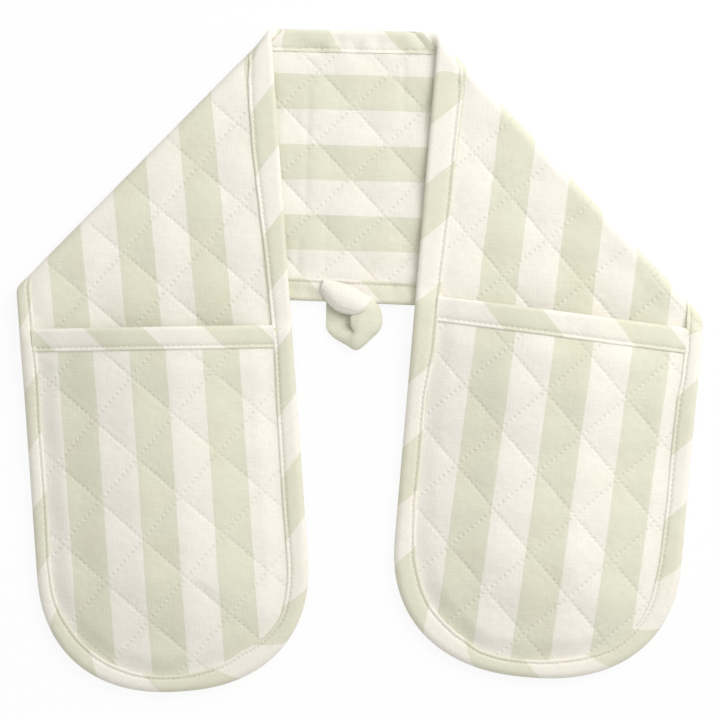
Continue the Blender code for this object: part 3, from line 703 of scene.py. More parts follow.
def stitch_row(bm, places, heights, directions, step):
    """Add one short thread at each place."""
    for place, height, direction in zip(places, heights, directions):
        side = square_to(direction)
        rings = []
        for along, wide in STITCH_SHARES:
            centre = place + direction * along * step * STITCH_SHARE
            level = height - THREAD_RADIUS * (1 - wide)
            ring = []
            for index in range(STITCH_SIDES if wide else 1):
                turn = 2 * math.pi * (index + 0.5) / STITCH_SIDES
                out, up = wide * THREAD_RADIUS * math.cos(turn), wide * THREAD_RADIUS * math.sin(turn)
                ring.append(bm.verts.new((*(centre + side * out), level + up)))
            rings.append(ring)
        for first, second in zip(rings, rings[1:]):
            for index in range(STITCH_SIDES):
                corners = [ring[turn % len(ring)] for ring, turn in
                           ((first, index), (second, index), (second, index + 1), (first, index + 1))]
                bm.faces.new(tuple(dict.fromkeys(corners)))


def quilting_stitches(bm, quilt, inside, height):
    """Add the threads of both sets of stitch lines where a test says that they show."""
    count = int(quilt.pitch / QUILT_STITCH * QUILT_LINES)
    steps = (np.arange(-count, count) + 0.5) * QUILT_STITCH / quilt.pitch
    for line in range(-QUILT_LINES, QUILT_LINES + 1):
        fixed = np.full(len(steps), float(line))
        for units, direction in (((fixed, steps), quilt.second), ((steps, fixed), quilt.first)):
            places = quilt.place(np.stack(units, axis=1))
            places = places[inside(places)]
            if len(places):
                stitch_row(bm, places, height(places), [direction] * len(places), QUILT_STITCH)


class Tape:
    """A bias tape folded over an edge. A station is a plan point on the edge, a step inward for
    each metre of depth, a distance along the tape, a height and a width."""

    def __init__(self, name, stations, base, material, changes_px, slant, dent=None):
        self.name = name
        self.stations = stations
        self.base = base
        self.material = material
        self.changes = changes_along(stations, changes_px)
        self.slant = slant
        self.dent = dent

    def build(self):
        """Make the swept piece."""
        return swept_tape(self.name, [station[2:] for station in self.stations], self.ring,
                          self.material, self.changes, self.slant)

    def ring(self, number, section):
        """The points of the section at one station."""
        place, inward, along, height, width = self.stations[number]
        points = np.array([place + inward * depth for depth, _, _ in section])
        dents = self.dent(points) if self.dent else np.zeros(len(points))
        ring = []
        for (_, up, over), point, base, dent in zip(section, points, self.base(points), dents):
            lift = tape_swell(width, height, up, over, along) - (dent if over > 0 else 0)
            ring.append((*point, base + TAPE_RISE + up + lift))
        return ring

    def stitches(self, bm):
        """Add the threads along the groove."""
        alongs = [along for _, _, along, _, _ in self.stations]
        heights = [height for _, _, _, height, _ in self.stations]
        line = np.array([place + inward * (width - STITCH_INSET)
                         for place, inward, _, _, width in self.stations])
        steps = np.arange(math.ceil(alongs[0] / TAPE_STITCH), alongs[-1] / TAPE_STITCH - 1) + 0.5
        middles = steps * TAPE_STITCH
        behind, ahead = (along_line(middles + move, alongs, line)
                         for move in (-TAPE_STITCH / 2, TAPE_STITCH / 2))
        places = (behind + ahead) / 2
        directions = (ahead - behind) / np.linalg.norm(ahead - behind, axis=1)[:, None]
        drop = GROOVE_DROP - THREAD_RADIUS
        levels = self.base(places) + TAPE_RISE + np.interp(middles, alongs, heights) - drop
        if self.dent:
            levels -= self.dent(places)
        stitch_row(bm, places, levels, directions, TAPE_STITCH)


def swept_tape(name, stations, ring_at, material, changes, slant):
    """A tape swept through stations of (along, height, width). A function of a station's number
    and section gives its points."""
    rings = []
    maps = []
    seams = []
    for number, (along, height, width) in enumerate(stations):
        section = tape_section(width, height)
        seam = seam_across(section, width)
        rings.append(ring_at(number, section))
        maps += [(along, over) for _, _, over in section]
        seams += [(abs(over) - seam, along) for _, _, over in section]
    cloth = bias_cloth(np.array(maps), changes, slant)
    return tube(name, rings, material, (("cloth", cloth), ("quilt", np.array(seams) / ARM_PITCH)))


def tape_section(width, height):
    """The section of a folded tape as (depth, height, distance across): a full roll at the edge,
    the groove of the stitches, and the thin ridge of the tape's own folded edge."""
    groove = width - STITCH_INSET
    half = height / 2
    points = []
    for step in range(ROLL_TURNS + 1):
        turn = math.pi / 2 * step / ROLL_TURNS
        rise = half * math.sin(turn) ** ROLL_FULLNESS
        points.append((half * ROLL_REACH * (1 - math.cos(turn)), half + rise))
    start = points[-1][0]
    span = groove - start
    for share, drop in TAPE_FLANK_SHARES:
        points.append((start + span * share, height - GROOVE_DROP * drop))
    for share, drop in TAPE_RIDGE_SHARES:
        points.append((groove + STITCH_INSET * share, height - GROOVE_DROP * drop))
    across = [0.0]
    for before, after in zip(points, points[1:]):
        across.append(across[-1] + math.dist(before, after))
    top = [(depth, up, over) for (depth, up), over in zip(points, across)]
    low = [(depth, height - up, -over) for depth, up, over in top[1:]]
    return top + low[::-1]


def tape_swell(width, height, up, over, along):
    """Small swells of a tape's roll along its length."""
    if not over:
        return 0.0
    place = np.array([[along, 0.0]])
    swell = sum(share * ripple(place, length, seed)[0] for length, seed, share in TAPE_WAVES)
    full = math.sin(math.pi * min(1, abs(over) / width))
    return math.copysign(TAPE_SWELL * swell * full, up - height / 2)


def nearest(places, point):
    """The number of the place that lies nearest to a point."""
    return int(np.argmin(np.linalg.norm(places - point, axis=1)))


def lengths_along(points):
    """How far along a run of points each of them lies."""
    return np.concatenate(([0], np.cumsum(np.linalg.norm(np.diff(points, axis=0), axis=1))))


def along_line(alongs, lengths, line):
    """The points of a line at some distances along it."""
    return np.stack([np.interp(alongs, lengths, line[:, axis]) for axis in (0, 1)], axis=-1)


def changes_along(stations, changes_px):
    """How far along the stations each stripe change lies. Those beyond the ends keep their real
    distance from them."""
    edge = np.array([place for place, _, _, _, _ in stations])
    first, last = stations[0][2], stations[-1][2]
    changes = []
    for change_px in changes_px:
        number = nearest(edge, px(*change_px))
        along = stations[number][2]
        beyond = np.linalg.norm(edge[number] - px(*change_px))
        if along == first and beyond > BEYOND_EDGE:
            along -= beyond
        elif along == last and beyond > BEYOND_EDGE:
            along += beyond
        changes.append(along)
    return changes


def bias_cloth(maps, changes, slant):
    """The cloth's own places on a tape cut on the bias, from (along, across) places. A stripe
    ends at each change."""
    over = np.abs(maps[:, 1])
    place = maps[:, 0] - slant * over
    u = np.interp(place, changes, np.arange(len(changes)))
    u = np.where(place < changes[0], (place - changes[0]) / TAPE_STRIPE_SPACING, u)
    u = np.where(place > changes[-1], len(changes) - 1 + (place - changes[-1]) / TAPE_STRIPE_SPACING, u)
    v = (maps[:, 0] * slant + over) / TAPE_STRIPE_SPACING
    return np.stack((u, v), axis=1)


def seam_across(section, width):
    """Distance across the tape at which the stitches lie."""
    groove = width - STITCH_INSET
    return min(section, key=lambda point: (point[2] < 0, abs(point[0] - groove)))[2]


def stations_along(points, facing, height_at, width_at, cuts=(None, None)):
    """Even stations on a polyline. At a cut the section slants to lie along it."""
    points = np.array(points)
    lengths = lengths_along(points)
    count = int(round(lengths[-1] / STATION_SPACING))
    stations = []
    for step in range(count + 1):
        along = lengths[-1] * step / count
        place, ahead, behind = (along_line(along + move, lengths, points)
                                for move in (0, STATION_SPACING, -STATION_SPACING))
        inward = square_to((ahead - behind) / np.linalg.norm(ahead - behind)) * facing
        for cut, away in zip(cuts, (along, lengths[-1] - along)):
            if cut is not None:
                slanting = cut.direction / (cut.direction @ inward)
                inward = inward + (slanting - inward) * (1 - smooth(ramp(away, 0, SLANT_LENGTH)))
        stations.append((place, inward, along, height_at(place), width_at(place)))
    return stations


class Band:
    """A stretch of the quilted band with its bound edges and its cut ends."""

    def __init__(self, bound, cuts, quilt, stripes, base):
        self.bound = bound
        self.cuts = cuts
        self.quilt = quilt
        self.stripes = stripes
        self.base = base

    def edge_depth(self, points):
        """Distance from the nearest bound edge."""
        return convex_depth(self.bound, points)

    def fullness(self, points):
        """0 at the tape, 1 away from it."""
        return np.sin(ramp(self.clear_of_tape(points), 0, EDGE_PUFF_WIDTH) * np.pi / 2)

    def clear_of_tape(self, points):
        """Distance from the inner border of the tape."""
        return self.edge_depth(points) - NECK_TAPE_WIDTH

    def thickness(self, points):
        """Height of the face cloth above the base."""
        free = quilted_height(self.quilt, points, BAND_CHANNEL, BAND_TOP, BAND_SEED)
        free += self.taut(points) * (BAND_TOP - free)
        return EDGE_TOP + self.fullness(points) * (free - EDGE_TOP)

    def taut(self, points):
        """How far the cloth is drawn tight near the cuts, where the band bends."""
        return FOLD_FILLED * (1 - smooth(ramp(convex_depth(self.cuts, points), 0, CREASE_REACH)))

    def top(self, points):
        """Height of the face cloth."""
        return self.base(points) + self.thickness(points)

    def hollow(self, points):
        """Height of the back cloth above the base."""
        free = BACK_CHANNEL * (1 - self.quilt.puff(points))
        return EDGE_UNDER + self.fullness(points) * (free - EDGE_UNDER)

    def under(self, points):
        """Height of the back cloth."""
        return self.base(points) + self.hollow(points)

    def build(self, name, materials, back_uv):
        """Make the closed pad."""
        sides = [line.inset(CLOTH_TUCK) for line in self.bound] + self.cuts
        return padded_panel(name, quilted_grid(self.quilt, in_turn(sides)), self.top, self.under,
                            materials, self.stripes, self.quilt, back_uv)


def quilted_height(quilt, points, low, high, seed):
    """Height of cloth over quilted wadding, with uneven filling and puckers beside the stitches."""
    puff = quilt.puff(points)
    uneven = 0.5 + 0.5 * ripple(points, FILLING_WAVE, seed)
    pucker = 0.5 + 0.5 * ripple(points, PUCKER_WAVE, seed + PUCKER_SEED)
    return low + puff * (high - low - UNEVEN_FILLING * uneven) - PUCKER * pucker * (1 - puff) * puff


def in_turn(sides):
    """Sides of a convex outline in order."""
    return sorted(sides, key=lambda line: math.atan2(line.normal[1], line.normal[0]))


class Neck(Band):
    """The middle of the band, under both arms."""

    def __init__(self, left_cut, right_cut):
        top = Line((0, NECK_TOP), heading(-NECK_TOP_SLOPE), (0, 0))
        bottom = Line((0, -NECK_BOTTOM), heading(-NECK_BOTTOM_SLOPE), (0, 0))
        quilt = Quilt(NECK_QUILT_PLACE, 45 - NECK_QUILT_TURN, NECK_PITCH)
        super().__init__([top, bottom], [left_cut, right_cut], quilt, Stripes(*NECK_STRIPES),
                         lambda points: np.zeros(len(points)))

    def thickness(self, points):
        """Height of the face cloth."""
        return super().thickness(points) - self.dent(points)

    def dent(self, points):
        """How far folding and handling have pressed the cloth and its tapes in."""
        pressed = np.zeros(len(points))
        fades_in, full, fades_out, gone = CREASE_FADE_SHARES
        for start, end, depth in NECK_CREASES:
            start = px(*start)
            end = px(*end)
            line = Line(start, end - start, start)
            along = (points - start) @ line.direction / np.linalg.norm(end - start)
            fade = ramp(along, fades_in, full) * (1 - ramp(along, fades_out, gone))
            pressed += depth * fade * np.exp(-(line.depth(points) / NECK_CREASE_WIDTH) ** 2)
        for place, size, depth in NECK_DENTS:
            away = np.linalg.norm(points - px(*place), axis=1) / size
            pressed += depth * np.exp(-away ** 2)
        return pressed

    def tape(self, name, line, material, changes_px, slant):
        """The tape on one of the neck's edges."""
        ends = [line.meet(cut) for cut in self.cuts]
        stations = stations_along(ends, line.facing(ends), lambda place: BAND_TAPE_HEIGHT,
                                  lambda place: NECK_TAPE_WIDTH, self.cuts)
        return Tape(name, stations, self.base, material, changes_px, slant, self.dent)


class Arm(Band):
    """One arm: a band with a rounded hand, folded over the neck, with a pocket on it."""

    def __init__(self, name, sign, crease_reach, crease_slope, axis_reach, lean, half_width, length,
                 hand_depth, mouth_at, mouth_slope, sag_start, quilt_place, pocket_quilt_place,
                 stripes, pocket_stripes, inner_px, mouth_tape_width, changes_px, slants):
        self.name = name
        self.sign = sign
        self.half_width = half_width
        self.length = length
        self.hand_depth = hand_depth
        self.sag_start = sag_start
        silhouette = Line((sign * crease_reach, 0), self.mirrored(heading(-crease_slope)), (0, 0))
        self.hinge = silhouette.inset(HINGE_HEIGHT)
        self.cut = self.hinge.inset(CUT_BACK)
        self.axis_point = np.array((sign * axis_reach, 0))
        self.down = self.mirrored(heading(-lean - 90))
        self.across = self.mirrored(heading(-lean))
        self.mouth = Line((sign * axis_reach, -mouth_at), self.mirrored(heading(-mouth_slope)),
                          self.place(0, length))
        edge = self.edge_points(HAND_STEPS)
        middle = self.place(0, length / 2)
        bound = [Line(start, end - start, middle) for start, end in zip(edge, edge[1:])
                 if np.linalg.norm(end - start) > CLEARANCE]
        turn = math.degrees(math.atan2(self.down[1], self.down[0])) + 45
        super().__init__(bound, [self.cut], Quilt(self.place(*quilt_place), turn, ARM_PITCH),
                         Stripes(*stripes), self.arm_base)
        self.pocket_quilt = Quilt(self.place(*pocket_quilt_place), turn, ARM_PITCH)
        self.pocket_stripes = Stripes(*pocket_stripes)
        self.mouth_tape_width = mouth_tape_width
        self.changes_px = changes_px
        self.slants = slants
        self.measure_tape(inner_px)

    def measure_tape(self, inner_px):
        """Take the tape's width along the edge from the pixels of its inner border."""
        edge = np.array(self.edge_points(TAPE_HAND_STEPS))
        lengths = lengths_along(edge)
        count = int(lengths[-1] / EDGE_SAMPLE)
        self.edge = along_line(np.linspace(0, lengths[-1], count), lengths, edge)
        inner = np.array([px(*place) for place in inner_px])
        widths = self.edge_depth(inner)
        numbers = [nearest(self.edge, place) for place in inner]
        self.widths = np.interp(np.arange(count), numbers, widths)

    def tape_width(self, points):
        """The width of the tape beside each point."""
        widths = []
        for start in range(0, len(points), CHUNK):
            part = points[start:start + CHUNK]
            away = np.linalg.norm(part[:, None] - self.edge[None], axis=2)
            widths.append(self.widths[away.argmin(axis=1)])
        return np.concatenate(widths) if widths else np.zeros(0)

    def clear_of_tape(self, points):
        """Distance from the inner border of the tape."""
        return self.edge_depth(points) - self.tape_width(points)

    def mirrored(self, direction):
        """A direction given for the right arm, on this arm's side."""
        return np.array((self.sign * direction[0], direction[1]))

    def place(self, across, down):
        """A plan point from its distance outward from the arm's axis and down along it."""
        return self.axis_point + self.across * across + self.down * down

    def side(self, outward):
        """The straight inner (-1) or outer (1) side."""
        return Line(self.place(outward * self.half_width, 0), self.down, self.place(0, 0))

    def edge_points(self, steps):
        """The edge from the crease down the inner side, round the hand and up the outer side."""
        points = [self.cut.meet(self.side(-1))]
        start = self.length - self.hand_depth
        for step in range(steps + 1):
            turn = math.pi * step / steps
            across = -math.copysign(abs(math.cos(turn)) ** (2 / HAND_SQUARENESS), math.cos(turn))
            down = abs(math.sin(turn)) ** (2 / HAND_SQUARENESS)
            points.append(self.place(across * self.half_width, start + down * self.hand_depth))
        points.append(self.cut.meet(self.side(1)))
        return points

    def arm_base(self, points):
        """Height of the arm's underside: over the neck, then sagging to the ground."""
        sagged = ramp(self.mouth.depth(points), self.sag_start, self.sag_start + SAG_LENGTH)
        return ARM_LIFT * (1 - smooth(sagged))

    def pocket_under(self, points):
        """Height of the lining: caught in the tape, then crowned over the hand's room."""
        clear = self.clear_of_tape(points)
        crown = smooth(ramp(clear, 0, CROWN_FULL_AT))
        lifted = smooth(ramp(clear, 0, POCKET_PUFF_WIDTH))
        rest = POCKET_EDGE_REST + lifted * (POCKET_REST - POCKET_EDGE_REST)
        return self.base(points) + rest + POCKET_HOLLOW * crown

    def pocket_top(self, points):
        """Height of the pocket's face cloth."""
        clear = np.minimum(self.clear_of_tape(points),
                           self.mouth.depth(points) - self.mouth_tape_width)
        full = np.sin(ramp(clear, 0, POCKET_PUFF_WIDTH) * np.pi / 2)
        thick = quilted_height(self.pocket_quilt, points, POCKET_CHANNEL, POCKET_TOP, POCKET_SEED)
        return self.pocket_under(points) + POCKET_EDGE_TOP + full * (thick - POCKET_EDGE_TOP)

    def tape_height(self, place):
        """The tape is thicker where it also holds the pocket."""
        deep = float(smooth(ramp(self.mouth.depth(place), TAPE_THICKENS_FROM, TAPE_THICKENS_TO)))
        return BAND_TAPE_HEIGHT + deep * (POCKET_TAPE_HEIGHT - BAND_TAPE_HEIGHT)

    def edge_tape(self, material):
        """The tape round the arm."""
        stations = stations_along(self.edge_points(TAPE_HAND_STEPS), self.sign, self.tape_height,
                                  lambda place: self.tape_width(place[None])[0], (self.cut, self.cut))
        return Tape(self.name + "_arm_tape", stations, self.base, material, self.changes_px[0],
                    self.slants[0])

    def mouth_tape(self, material):
        """The tape over the pocket's mouth."""
        ends = []
        for outward in (-1, 1):
            width = self.tape_width(self.mouth.meet(self.side(outward))[None])[0]
            ends.append(self.mouth.meet(self.side(outward).inset(width - MOUTH_TUCK)))
        ends.sort(key=lambda point: point[0])
        stations = stations_along(ends, self.mouth.facing(ends), lambda place: MOUTH_TAPE_HEIGHT,
                                  lambda place: self.mouth_tape_width)
        return Tape(self.name + "_pocket_mouth_tape", stations,
                    lambda points: self.pocket_under(points) - MOUTH_TAPE_SINK, material,
                    self.changes_px[1], self.slants[1])

    def build_pocket(self, materials):
        """The quilted pocket panel."""
        sides = [line.inset(CLOTH_TUCK) for line in self.bound] + [self.mouth.inset(CLOTH_TUCK / 2)]
        return padded_panel(self.name + "_pocket_panel", quilted_grid(self.pocket_quilt, in_turn(sides)),
                            self.pocket_top, self.pocket_under, materials, self.pocket_stripes,
                            self.pocket_quilt, self.pocket_stripes.uv)


class Fold:
    """The stretch of the band that turns over the crease, from the neck's back to the arm's face."""

    def __init__(self, neck, arm):
        self.neck = neck
        self.arm = arm
        self.outward = arm.hinge.normal
        self.edges = [(neck.bound[0], arm.side(-1)), (neck.bound[1], arm.side(1))]

    def turned(self, foot, turn, radius):
        """A point at a turn round the hinge, from 0 below to pi above."""
        plan = foot + self.outward * radius * math.sin(turn)
        return (plan[0], plan[1], HINGE_HEIGHT - radius * math.cos(turn))

    def foot(self, edge, depth, share):
        """The place on the cut at a depth inside one edge, part of the way from neck to arm."""
        neck_line, arm_line = self.edges[edge]
        below = neck_line.inset(depth).meet(self.arm.cut)
        above = arm_line.inset(depth).meet(self.arm.cut)
        return below + (above - below) * share

    def build_pad(self, name, materials):
        """The quilted pad round the bend."""
        turns = np.linspace(0, math.pi, FOLD_TURNS + 1)
        outer = []
        inner = []
        cloth = []
        cells = []
        for turn in turns:
            share = float(turn / math.pi)
            first, last = (self.foot(edge, CLOTH_TUCK, share) for edge in (0, 1))
            feet = first + (last - first) * np.linspace(0, 1, FOLD_STATIONS + 1)[:, None]
            beyond = feet + self.outward * (math.pi - turn) * FOLD_RADIUS
            below = feet + self.outward * turn * FOLD_RADIUS
            arm_radius = ARM_LIFT + self.arm.thickness(beyond) - HINGE_HEIGHT
            neck_radius = HINGE_HEIGHT - self.neck.hollow(below)
            radii = neck_radius + (arm_radius - neck_radius) * share
            radii += FOLD_FILLED * math.sin(turn) * (ARM_LIFT + BAND_TOP - HINGE_HEIGHT - radii)
            arm_gap = ARM_LIFT + self.arm.hollow(beyond) - HINGE_HEIGHT
            neck_gap = HINGE_HEIGHT - self.neck.thickness(below)
            gaps = np.maximum(neck_gap + (arm_gap - neck_gap) * share, SLIVER)
            outer.append([self.turned(foot, turn, radius) for foot, radius in zip(feet, radii)])
            inner.append([self.turned(foot, turn, radius) for foot, radius in zip(feet, gaps)])
            cloth.append(self.arm.stripes.uv(beyond))
            cells.append(self.arm.quilt.units(feet))
        return shell(name, outer, inner, materials, (("cloth", cloth), ("quilt", cells)))

    def build_tape(self, name, edge, material, arm_tape):
        """The tape round the bend at one edge."""
        _, _, start, height, arm_width = arm_tape.stations[0 if edge == 0 else -1]
        onward = -1 if edge == 0 else 1
        turns = np.linspace(0, math.pi, FOLD_TURNS + 1)
        stations = [(start + onward * (math.pi - turn) * FOLD_RADIUS / abs(self.outward @ self.arm.down),
                     height, NECK_TAPE_WIDTH + (arm_width - NECK_TAPE_WIDTH) * turn / math.pi)
                    for turn in turns]

        def ring(number, section):
            turn = turns[number]
            share = turn / math.pi
            along, _, width = stations[number]
            points = []
            for depth, up, over in section:
                swell = tape_swell(width, height, up, over, along) * share
                above = ARM_LIFT + TAPE_RISE + up + swell - HINGE_HEIGHT
                below = HINGE_HEIGHT - TAPE_RISE - (height - up)
                radius = max(below + (above - below) * share, SLIVER)
                if over > 0 and edge == 0:
                    radius += CORNER_PUFF * math.sin(turn) * math.exp(-(depth / CORNER_SIZE) ** 2)
                points.append(self.turned(self.foot(edge, depth, share), turn, radius))
            return points

        return swept_tape(name, stations, ring, material, arm_tape.changes, arm_tape.slant)


def build_fold(fold, materials, arm_tape):
    """Dress one fold."""
    name = fold.arm.name + "_fold"
    start, end = (fold.turned(fold.arm.cut.point, turn, HINGE_HEIGHT) for turn in (0, math.pi))
    pad = fold.build_pad(name + "_quilted_band", [materials["arm"], materials["neck"]])
    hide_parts(name + "_outer_fabric", name + "_wadding", name + "_inner_fabric")
    pieces = [pad]
    for edge, ending in enumerate(("top", "bottom")):
        tape = fold.build_tape(name + "_" + ending + "_tape", edge, materials["tape"], arm_tape)
        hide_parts(name + "_" + ending + "_binding")
        pieces.append(tape)
    for piece in pieces:
        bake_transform(piece)


def smooth_path(places, steps):
    """A smooth run through rows of numbers."""
    places = np.array(places, float)
    before = np.concatenate((2 * places[:1] - places[1:2], places, 2 * places[-1:] - places[-2:-1]))
    run = []
    for index in range(len(places) - 1):
        first, second, third, fourth = before[index:index + 4]
        for step in range(steps):
            t = step / steps
            run.append(0.5 * (2 * second + (third - first) * t
                              + (2 * first - 5 * second + 4 * third - fourth) * t ** 2
                              + (3 * second - first - 3 * third + fourth) * t ** 3))
    return np.array(run + [places[-1]])


def build_loop(materials):
    """The hanging loop: a folded tape that turns over itself on its way round."""
    stations = smooth_path(LOOP_STATIONS, LOOP_STEPS)
    starts, ends = (np.column_stack((px(*stations[:, first:first + 2].T).T, stations[:, first + 2]))
                    for first in (0, 3))
    middles = (starts + ends) / 2
    alongs = lengths_along(middles)
    sides = ends - starts
    normals = np.cross(np.gradient(middles, axis=0), sides)
    normals /= np.linalg.norm(normals, axis=1)[:, None]
    shares = np.linspace(0, 1, LOOP_ACROSS + 1)
    bulges = stations[:, 6:] * np.sin(np.pi * shares) ** LOOP_BULGE_FULLNESS
    centres = (starts[:, None] + sides[:, None] * shares[:, None]
               + normals[:, None] * bulges[..., None])
    full = 1 - (2 * shares - 1) ** LOOP_EDGE_SHARPNESS
    ridge = np.exp(-((shares - LOOP_SEAM_SHARE) / LOOP_SEAM_WIDTH_SHARE) ** 2)
    halves = LOOP_HALF_THICKNESS * (LOOP_EDGE_SHARE + (1 - LOOP_EDGE_SHARE) * full)
    thick = normals[:, None] * (halves - LOOP_SEAM_DEPTH * ridge)[:, None]
    widths = np.linalg.norm(sides, axis=1)[:, None]
    across = shares * widths
    along = np.broadcast_to(alongs[:, None], across.shape)
    striped = bias_cloth(np.stack((along, across), axis=-1).reshape(-1, 2), LOOP_CHANGES, LOOP_SLANT)
    seams = np.stack((across - LOOP_SEAM_SHARE * widths, along), axis=-1) / ARM_PITCH
    loop = shell("hanging_loop_tape", centres + thick, centres - thick, [materials["tape"]],
                 (("cloth", striped), ("quilt", seams)))
    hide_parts("hanging_loop")
    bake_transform(loop)


def dress(piece, body, nodes=()):
    """Let a piece ride on a body and stand for CAD nodes."""
    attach(piece, body)
    if nodes:
        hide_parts(*nodes)


def dress_pad(pad, body, nodes):
    """Dress a quilted pad."""
    dress(pad, body, nodes)


def build_threads(body, material, quiltings, tapes):
    """The threads of a body: one piece for its quilting, and one for its tapes."""
    sewn = bmesh.new()
    for quilt, inside, height in quiltings:
        quilting_stitches(sewn, quilt, inside, height)
    dress(new_piece(body + "_quilting_thread", sewn, [material]), body)
    bound = bmesh.new()
    for tape in tapes:
        tape.stitches(bound)
    dress(new_piece(body + "_tape_thread", bound, [material]), body)


def build_arm(arm, neck, materials):
    """Dress one arm. Gives back the tape round it."""
    body = arm.name + "_arm"

    def back_uv(points):
        return neck.stripes.uv(arm.hinge.mirror(points))

    band = arm.build(arm.name + "_arm_quilted_band", [materials["arm"], materials["arm"]], back_uv)
    dress_pad(band, body, [body + "_face_fabric", body + "_wadding", body + "_back_fabric"])
    pocket = arm.build_pocket([materials["arm"], materials["lining"]])
    dress_pad(pocket, body, [arm.name + "_pocket_" + layer for layer in
                             ("face_fabric", "wadding", "lining")])
    tape = arm.edge_tape(materials["tape"])
    dress(tape.build(), body, [body + "_binding"])
    mouth = arm.mouth_tape(materials["tape"])
    dress(mouth.build(), body, [arm.name + "_pocket_mouth_binding"])

    def on_arm(points):
        clear = (arm.mouth.depth(points) < -CLEARANCE) & (arm.clear_of_tape(points) > THREAD_RADIUS)
        from_cut = arm.cut.depth(points)
        beside = np.ptp(from_cut) < arm.length
        return clear & (from_cut > (CREASE_REACH / 2 if beside else QUILT_STITCH / 2))

    def on_pocket(points):
        below = arm.mouth.depth(points) > arm.mouth_tape_width + THREAD_RADIUS
        return below & (arm.clear_of_tape(points) > THREAD_RADIUS)

    quiltings = ((arm.quilt, on_arm, arm.top), (arm.pocket_quilt, on_pocket, arm.pocket_top))
    build_threads(body, materials["thread"], quiltings, (tape, mouth))
    return tape


def build_neck(neck, left, right, materials):
    """Dress the neck."""
    def back_uv(points):
        reach = math.pi * FOLD_RADIUS
        first, second = (arm.stripes.uv(arm.hinge.mirror(points) + arm.hinge.normal * reach)
                         for arm in (left, right))
        turned = 1 - second
        turned[:, 0] += 2 * np.round((np.median(first[:, 0] - turned[:, 0])) / 2)
        share = smooth(ramp(points[:, :1], -NECK_BLEND, NECK_BLEND))
        return first + (turned - first) * share

    band = neck.build("neck_quilted_band", [materials["neck"], materials["neck"]], back_uv)
    dress_pad(band, "neck", ["neck_face_fabric", "neck_wadding", "neck_back_fabric"])
    tapes = []
    for index, ending in enumerate(("top", "bottom")):
        tape = neck.tape("neck_" + ending + "_tape", neck.bound[index], materials["tape"],
                         NECK_TAPE_CHANGES_PX[index], NECK_TAPE_SLANTS[index])
        dress(tape.build(), "neck", ["neck_" + ending + "_binding"])
        tapes.append(tape)

    def shown(points):
        clear = neck.clear_of_tape(points) > THREAD_RADIUS
        for arm in (left, right):
            clear &= (arm.cut.depth(points) > 0) & (arm.edge_depth(points) < 0)
        return clear

    build_threads("neck", materials["thread"], ((neck.quilt, shown, neck.top),), tapes)


def build_floor():
    """A pale floor that shows white, and keeps a faint shadow of the glove."""
    bm = bmesh.new()
    half = FLOOR_SIDE / 2
    bm.faces.new([bm.verts.new((x, y, -CLEARANCE)) for x, y in
                  ((-half, -half), (half, -half), (half, half), (-half, half))])
    graph = Graph("floor_paper")
    graph.shader.inputs["Base Color"].default_value = FLOOR_GREY
    graph.shader.inputs["Roughness"].default_value = FLOOR_ROUGHNESS
    light_path = graph.add("ShaderNodeLightPath")
    seen = graph.math("MAXIMUM", light_path.outputs["Is Camera Ray"], light_path.outputs["Is Glossy Ray"])
    seen = graph.math("MAXIMUM", seen, light_path.outputs["Is Transmission Ray"])
    glow = graph.add("ShaderNodeEmission", {"Color": WHITE, "Strength": 1.0})
    mixed = graph.add("ShaderNodeMixShader", {0: graph.scaled(seen, FLOOR_GLOW_SHARE),
                                              1: graph.shader.outputs[0], 2: glow.outputs[0]})
    graph.feed(graph.tree.nodes["Material Output"].inputs["Surface"], mixed.outputs[0])
    new_piece("floor", bm, [graph.material])


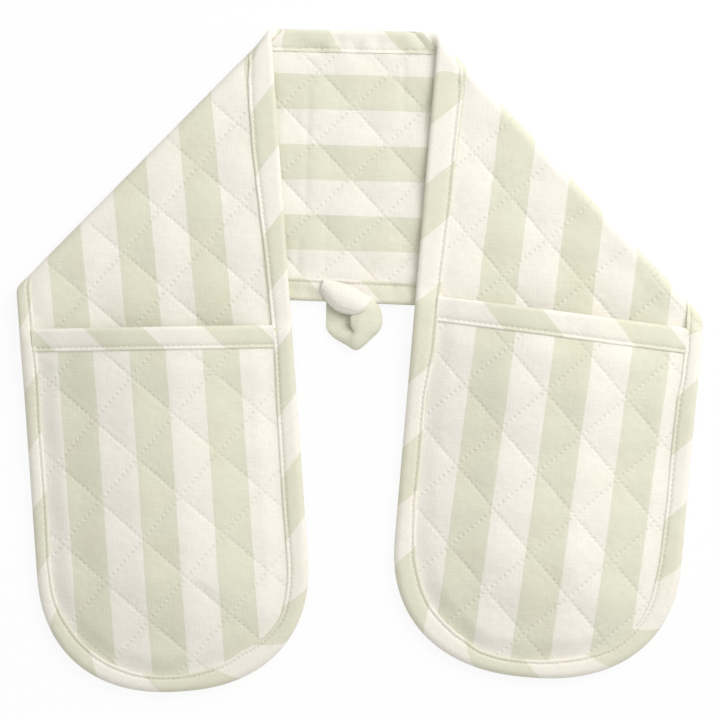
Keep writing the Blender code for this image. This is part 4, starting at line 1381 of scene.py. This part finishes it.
def build_lights():
    """One broad square lamp from the upper right, and an even sky."""
    lamp = bpy.data.lights.new("key_lamp", "AREA")
    lamp.size = KEY_SIDE
    lamp.energy = KEY_POWER
    lamp.color = KEY_COLOUR
    holder = bpy.data.objects.new("key_lamp", lamp)
    holder.location = KEY_PLACE
    holder.rotation_euler = (Vector(LAMP_TARGET) - Vector(KEY_PLACE)).to_track_quat("-Z", "Y").to_euler()
    bpy.context.scene.collection.objects.link(holder)
    world = bpy.data.worlds.new("studio")
    world.use_nodes = True
    sky = world.node_tree.nodes["Background"]
    sky.inputs["Color"].default_value = WHITE
    sky.inputs["Strength"].default_value = SKY_STRENGTH
    bpy.context.scene.world = world


def build_camera():
    """The camera straight above, framed as the photograph is."""
    side = PHOTO_SIDE_PX * METRES_PER_PX
    middle = px(PHOTO_SIDE_PX / 2, PHOTO_SIDE_PX / 2)
    camera = bpy.data.cameras.new("camera")
    camera.sensor_width = SENSOR_WIDTH
    camera.lens = SENSOR_WIDTH * CAMERA_DISTANCE / side
    holder = bpy.data.objects.new("camera", camera)
    holder.location = (middle[0], middle[1], CAMERA_DISTANCE + SHARP_HEIGHT)
    bpy.context.scene.collection.objects.link(holder)
    bpy.context.scene.camera = holder
    bpy.context.scene.view_settings.view_transform = "Standard"


def build_materials():
    """The cloths and the thread by name."""
    return {"arm": striped_cotton("striped_cotton_arms", ARM_PITCH, QUILT_STITCH),
            "neck": striped_cotton("striped_cotton_neck", NECK_PITCH, QUILT_STITCH),
            # The tape's needle holes take a fainter painted shade
            "tape": striped_cotton("bias_tape", ARM_PITCH, TAPE_STITCH, crossing=False,
                                   painted_hole_shade=TAPE_HOLE_PAINTED_SHADE, drawn_in=TAPE_DRAWN_IN),
            "thread": thread_cotton("sewing_thread", THREAD_COLOUR),
            "lining": plain_cotton("lining_cotton", LINING_COLOUR)}


def main():
    """Dress the glove and set the studio up."""
    left = Arm("left", -1, **LEFT_ARM)
    right = Arm("right", 1, **RIGHT_ARM)
    neck = Neck(left.cut, right.cut)
    materials = build_materials()
    build_neck(neck, left, right, materials)
    for arm in (left, right):
        arm_tape = build_arm(arm, neck, materials)
        build_fold(Fold(neck, arm), materials, arm_tape)
    build_loop(materials)
    build_floor()
    build_lights()
    build_camera()


main()
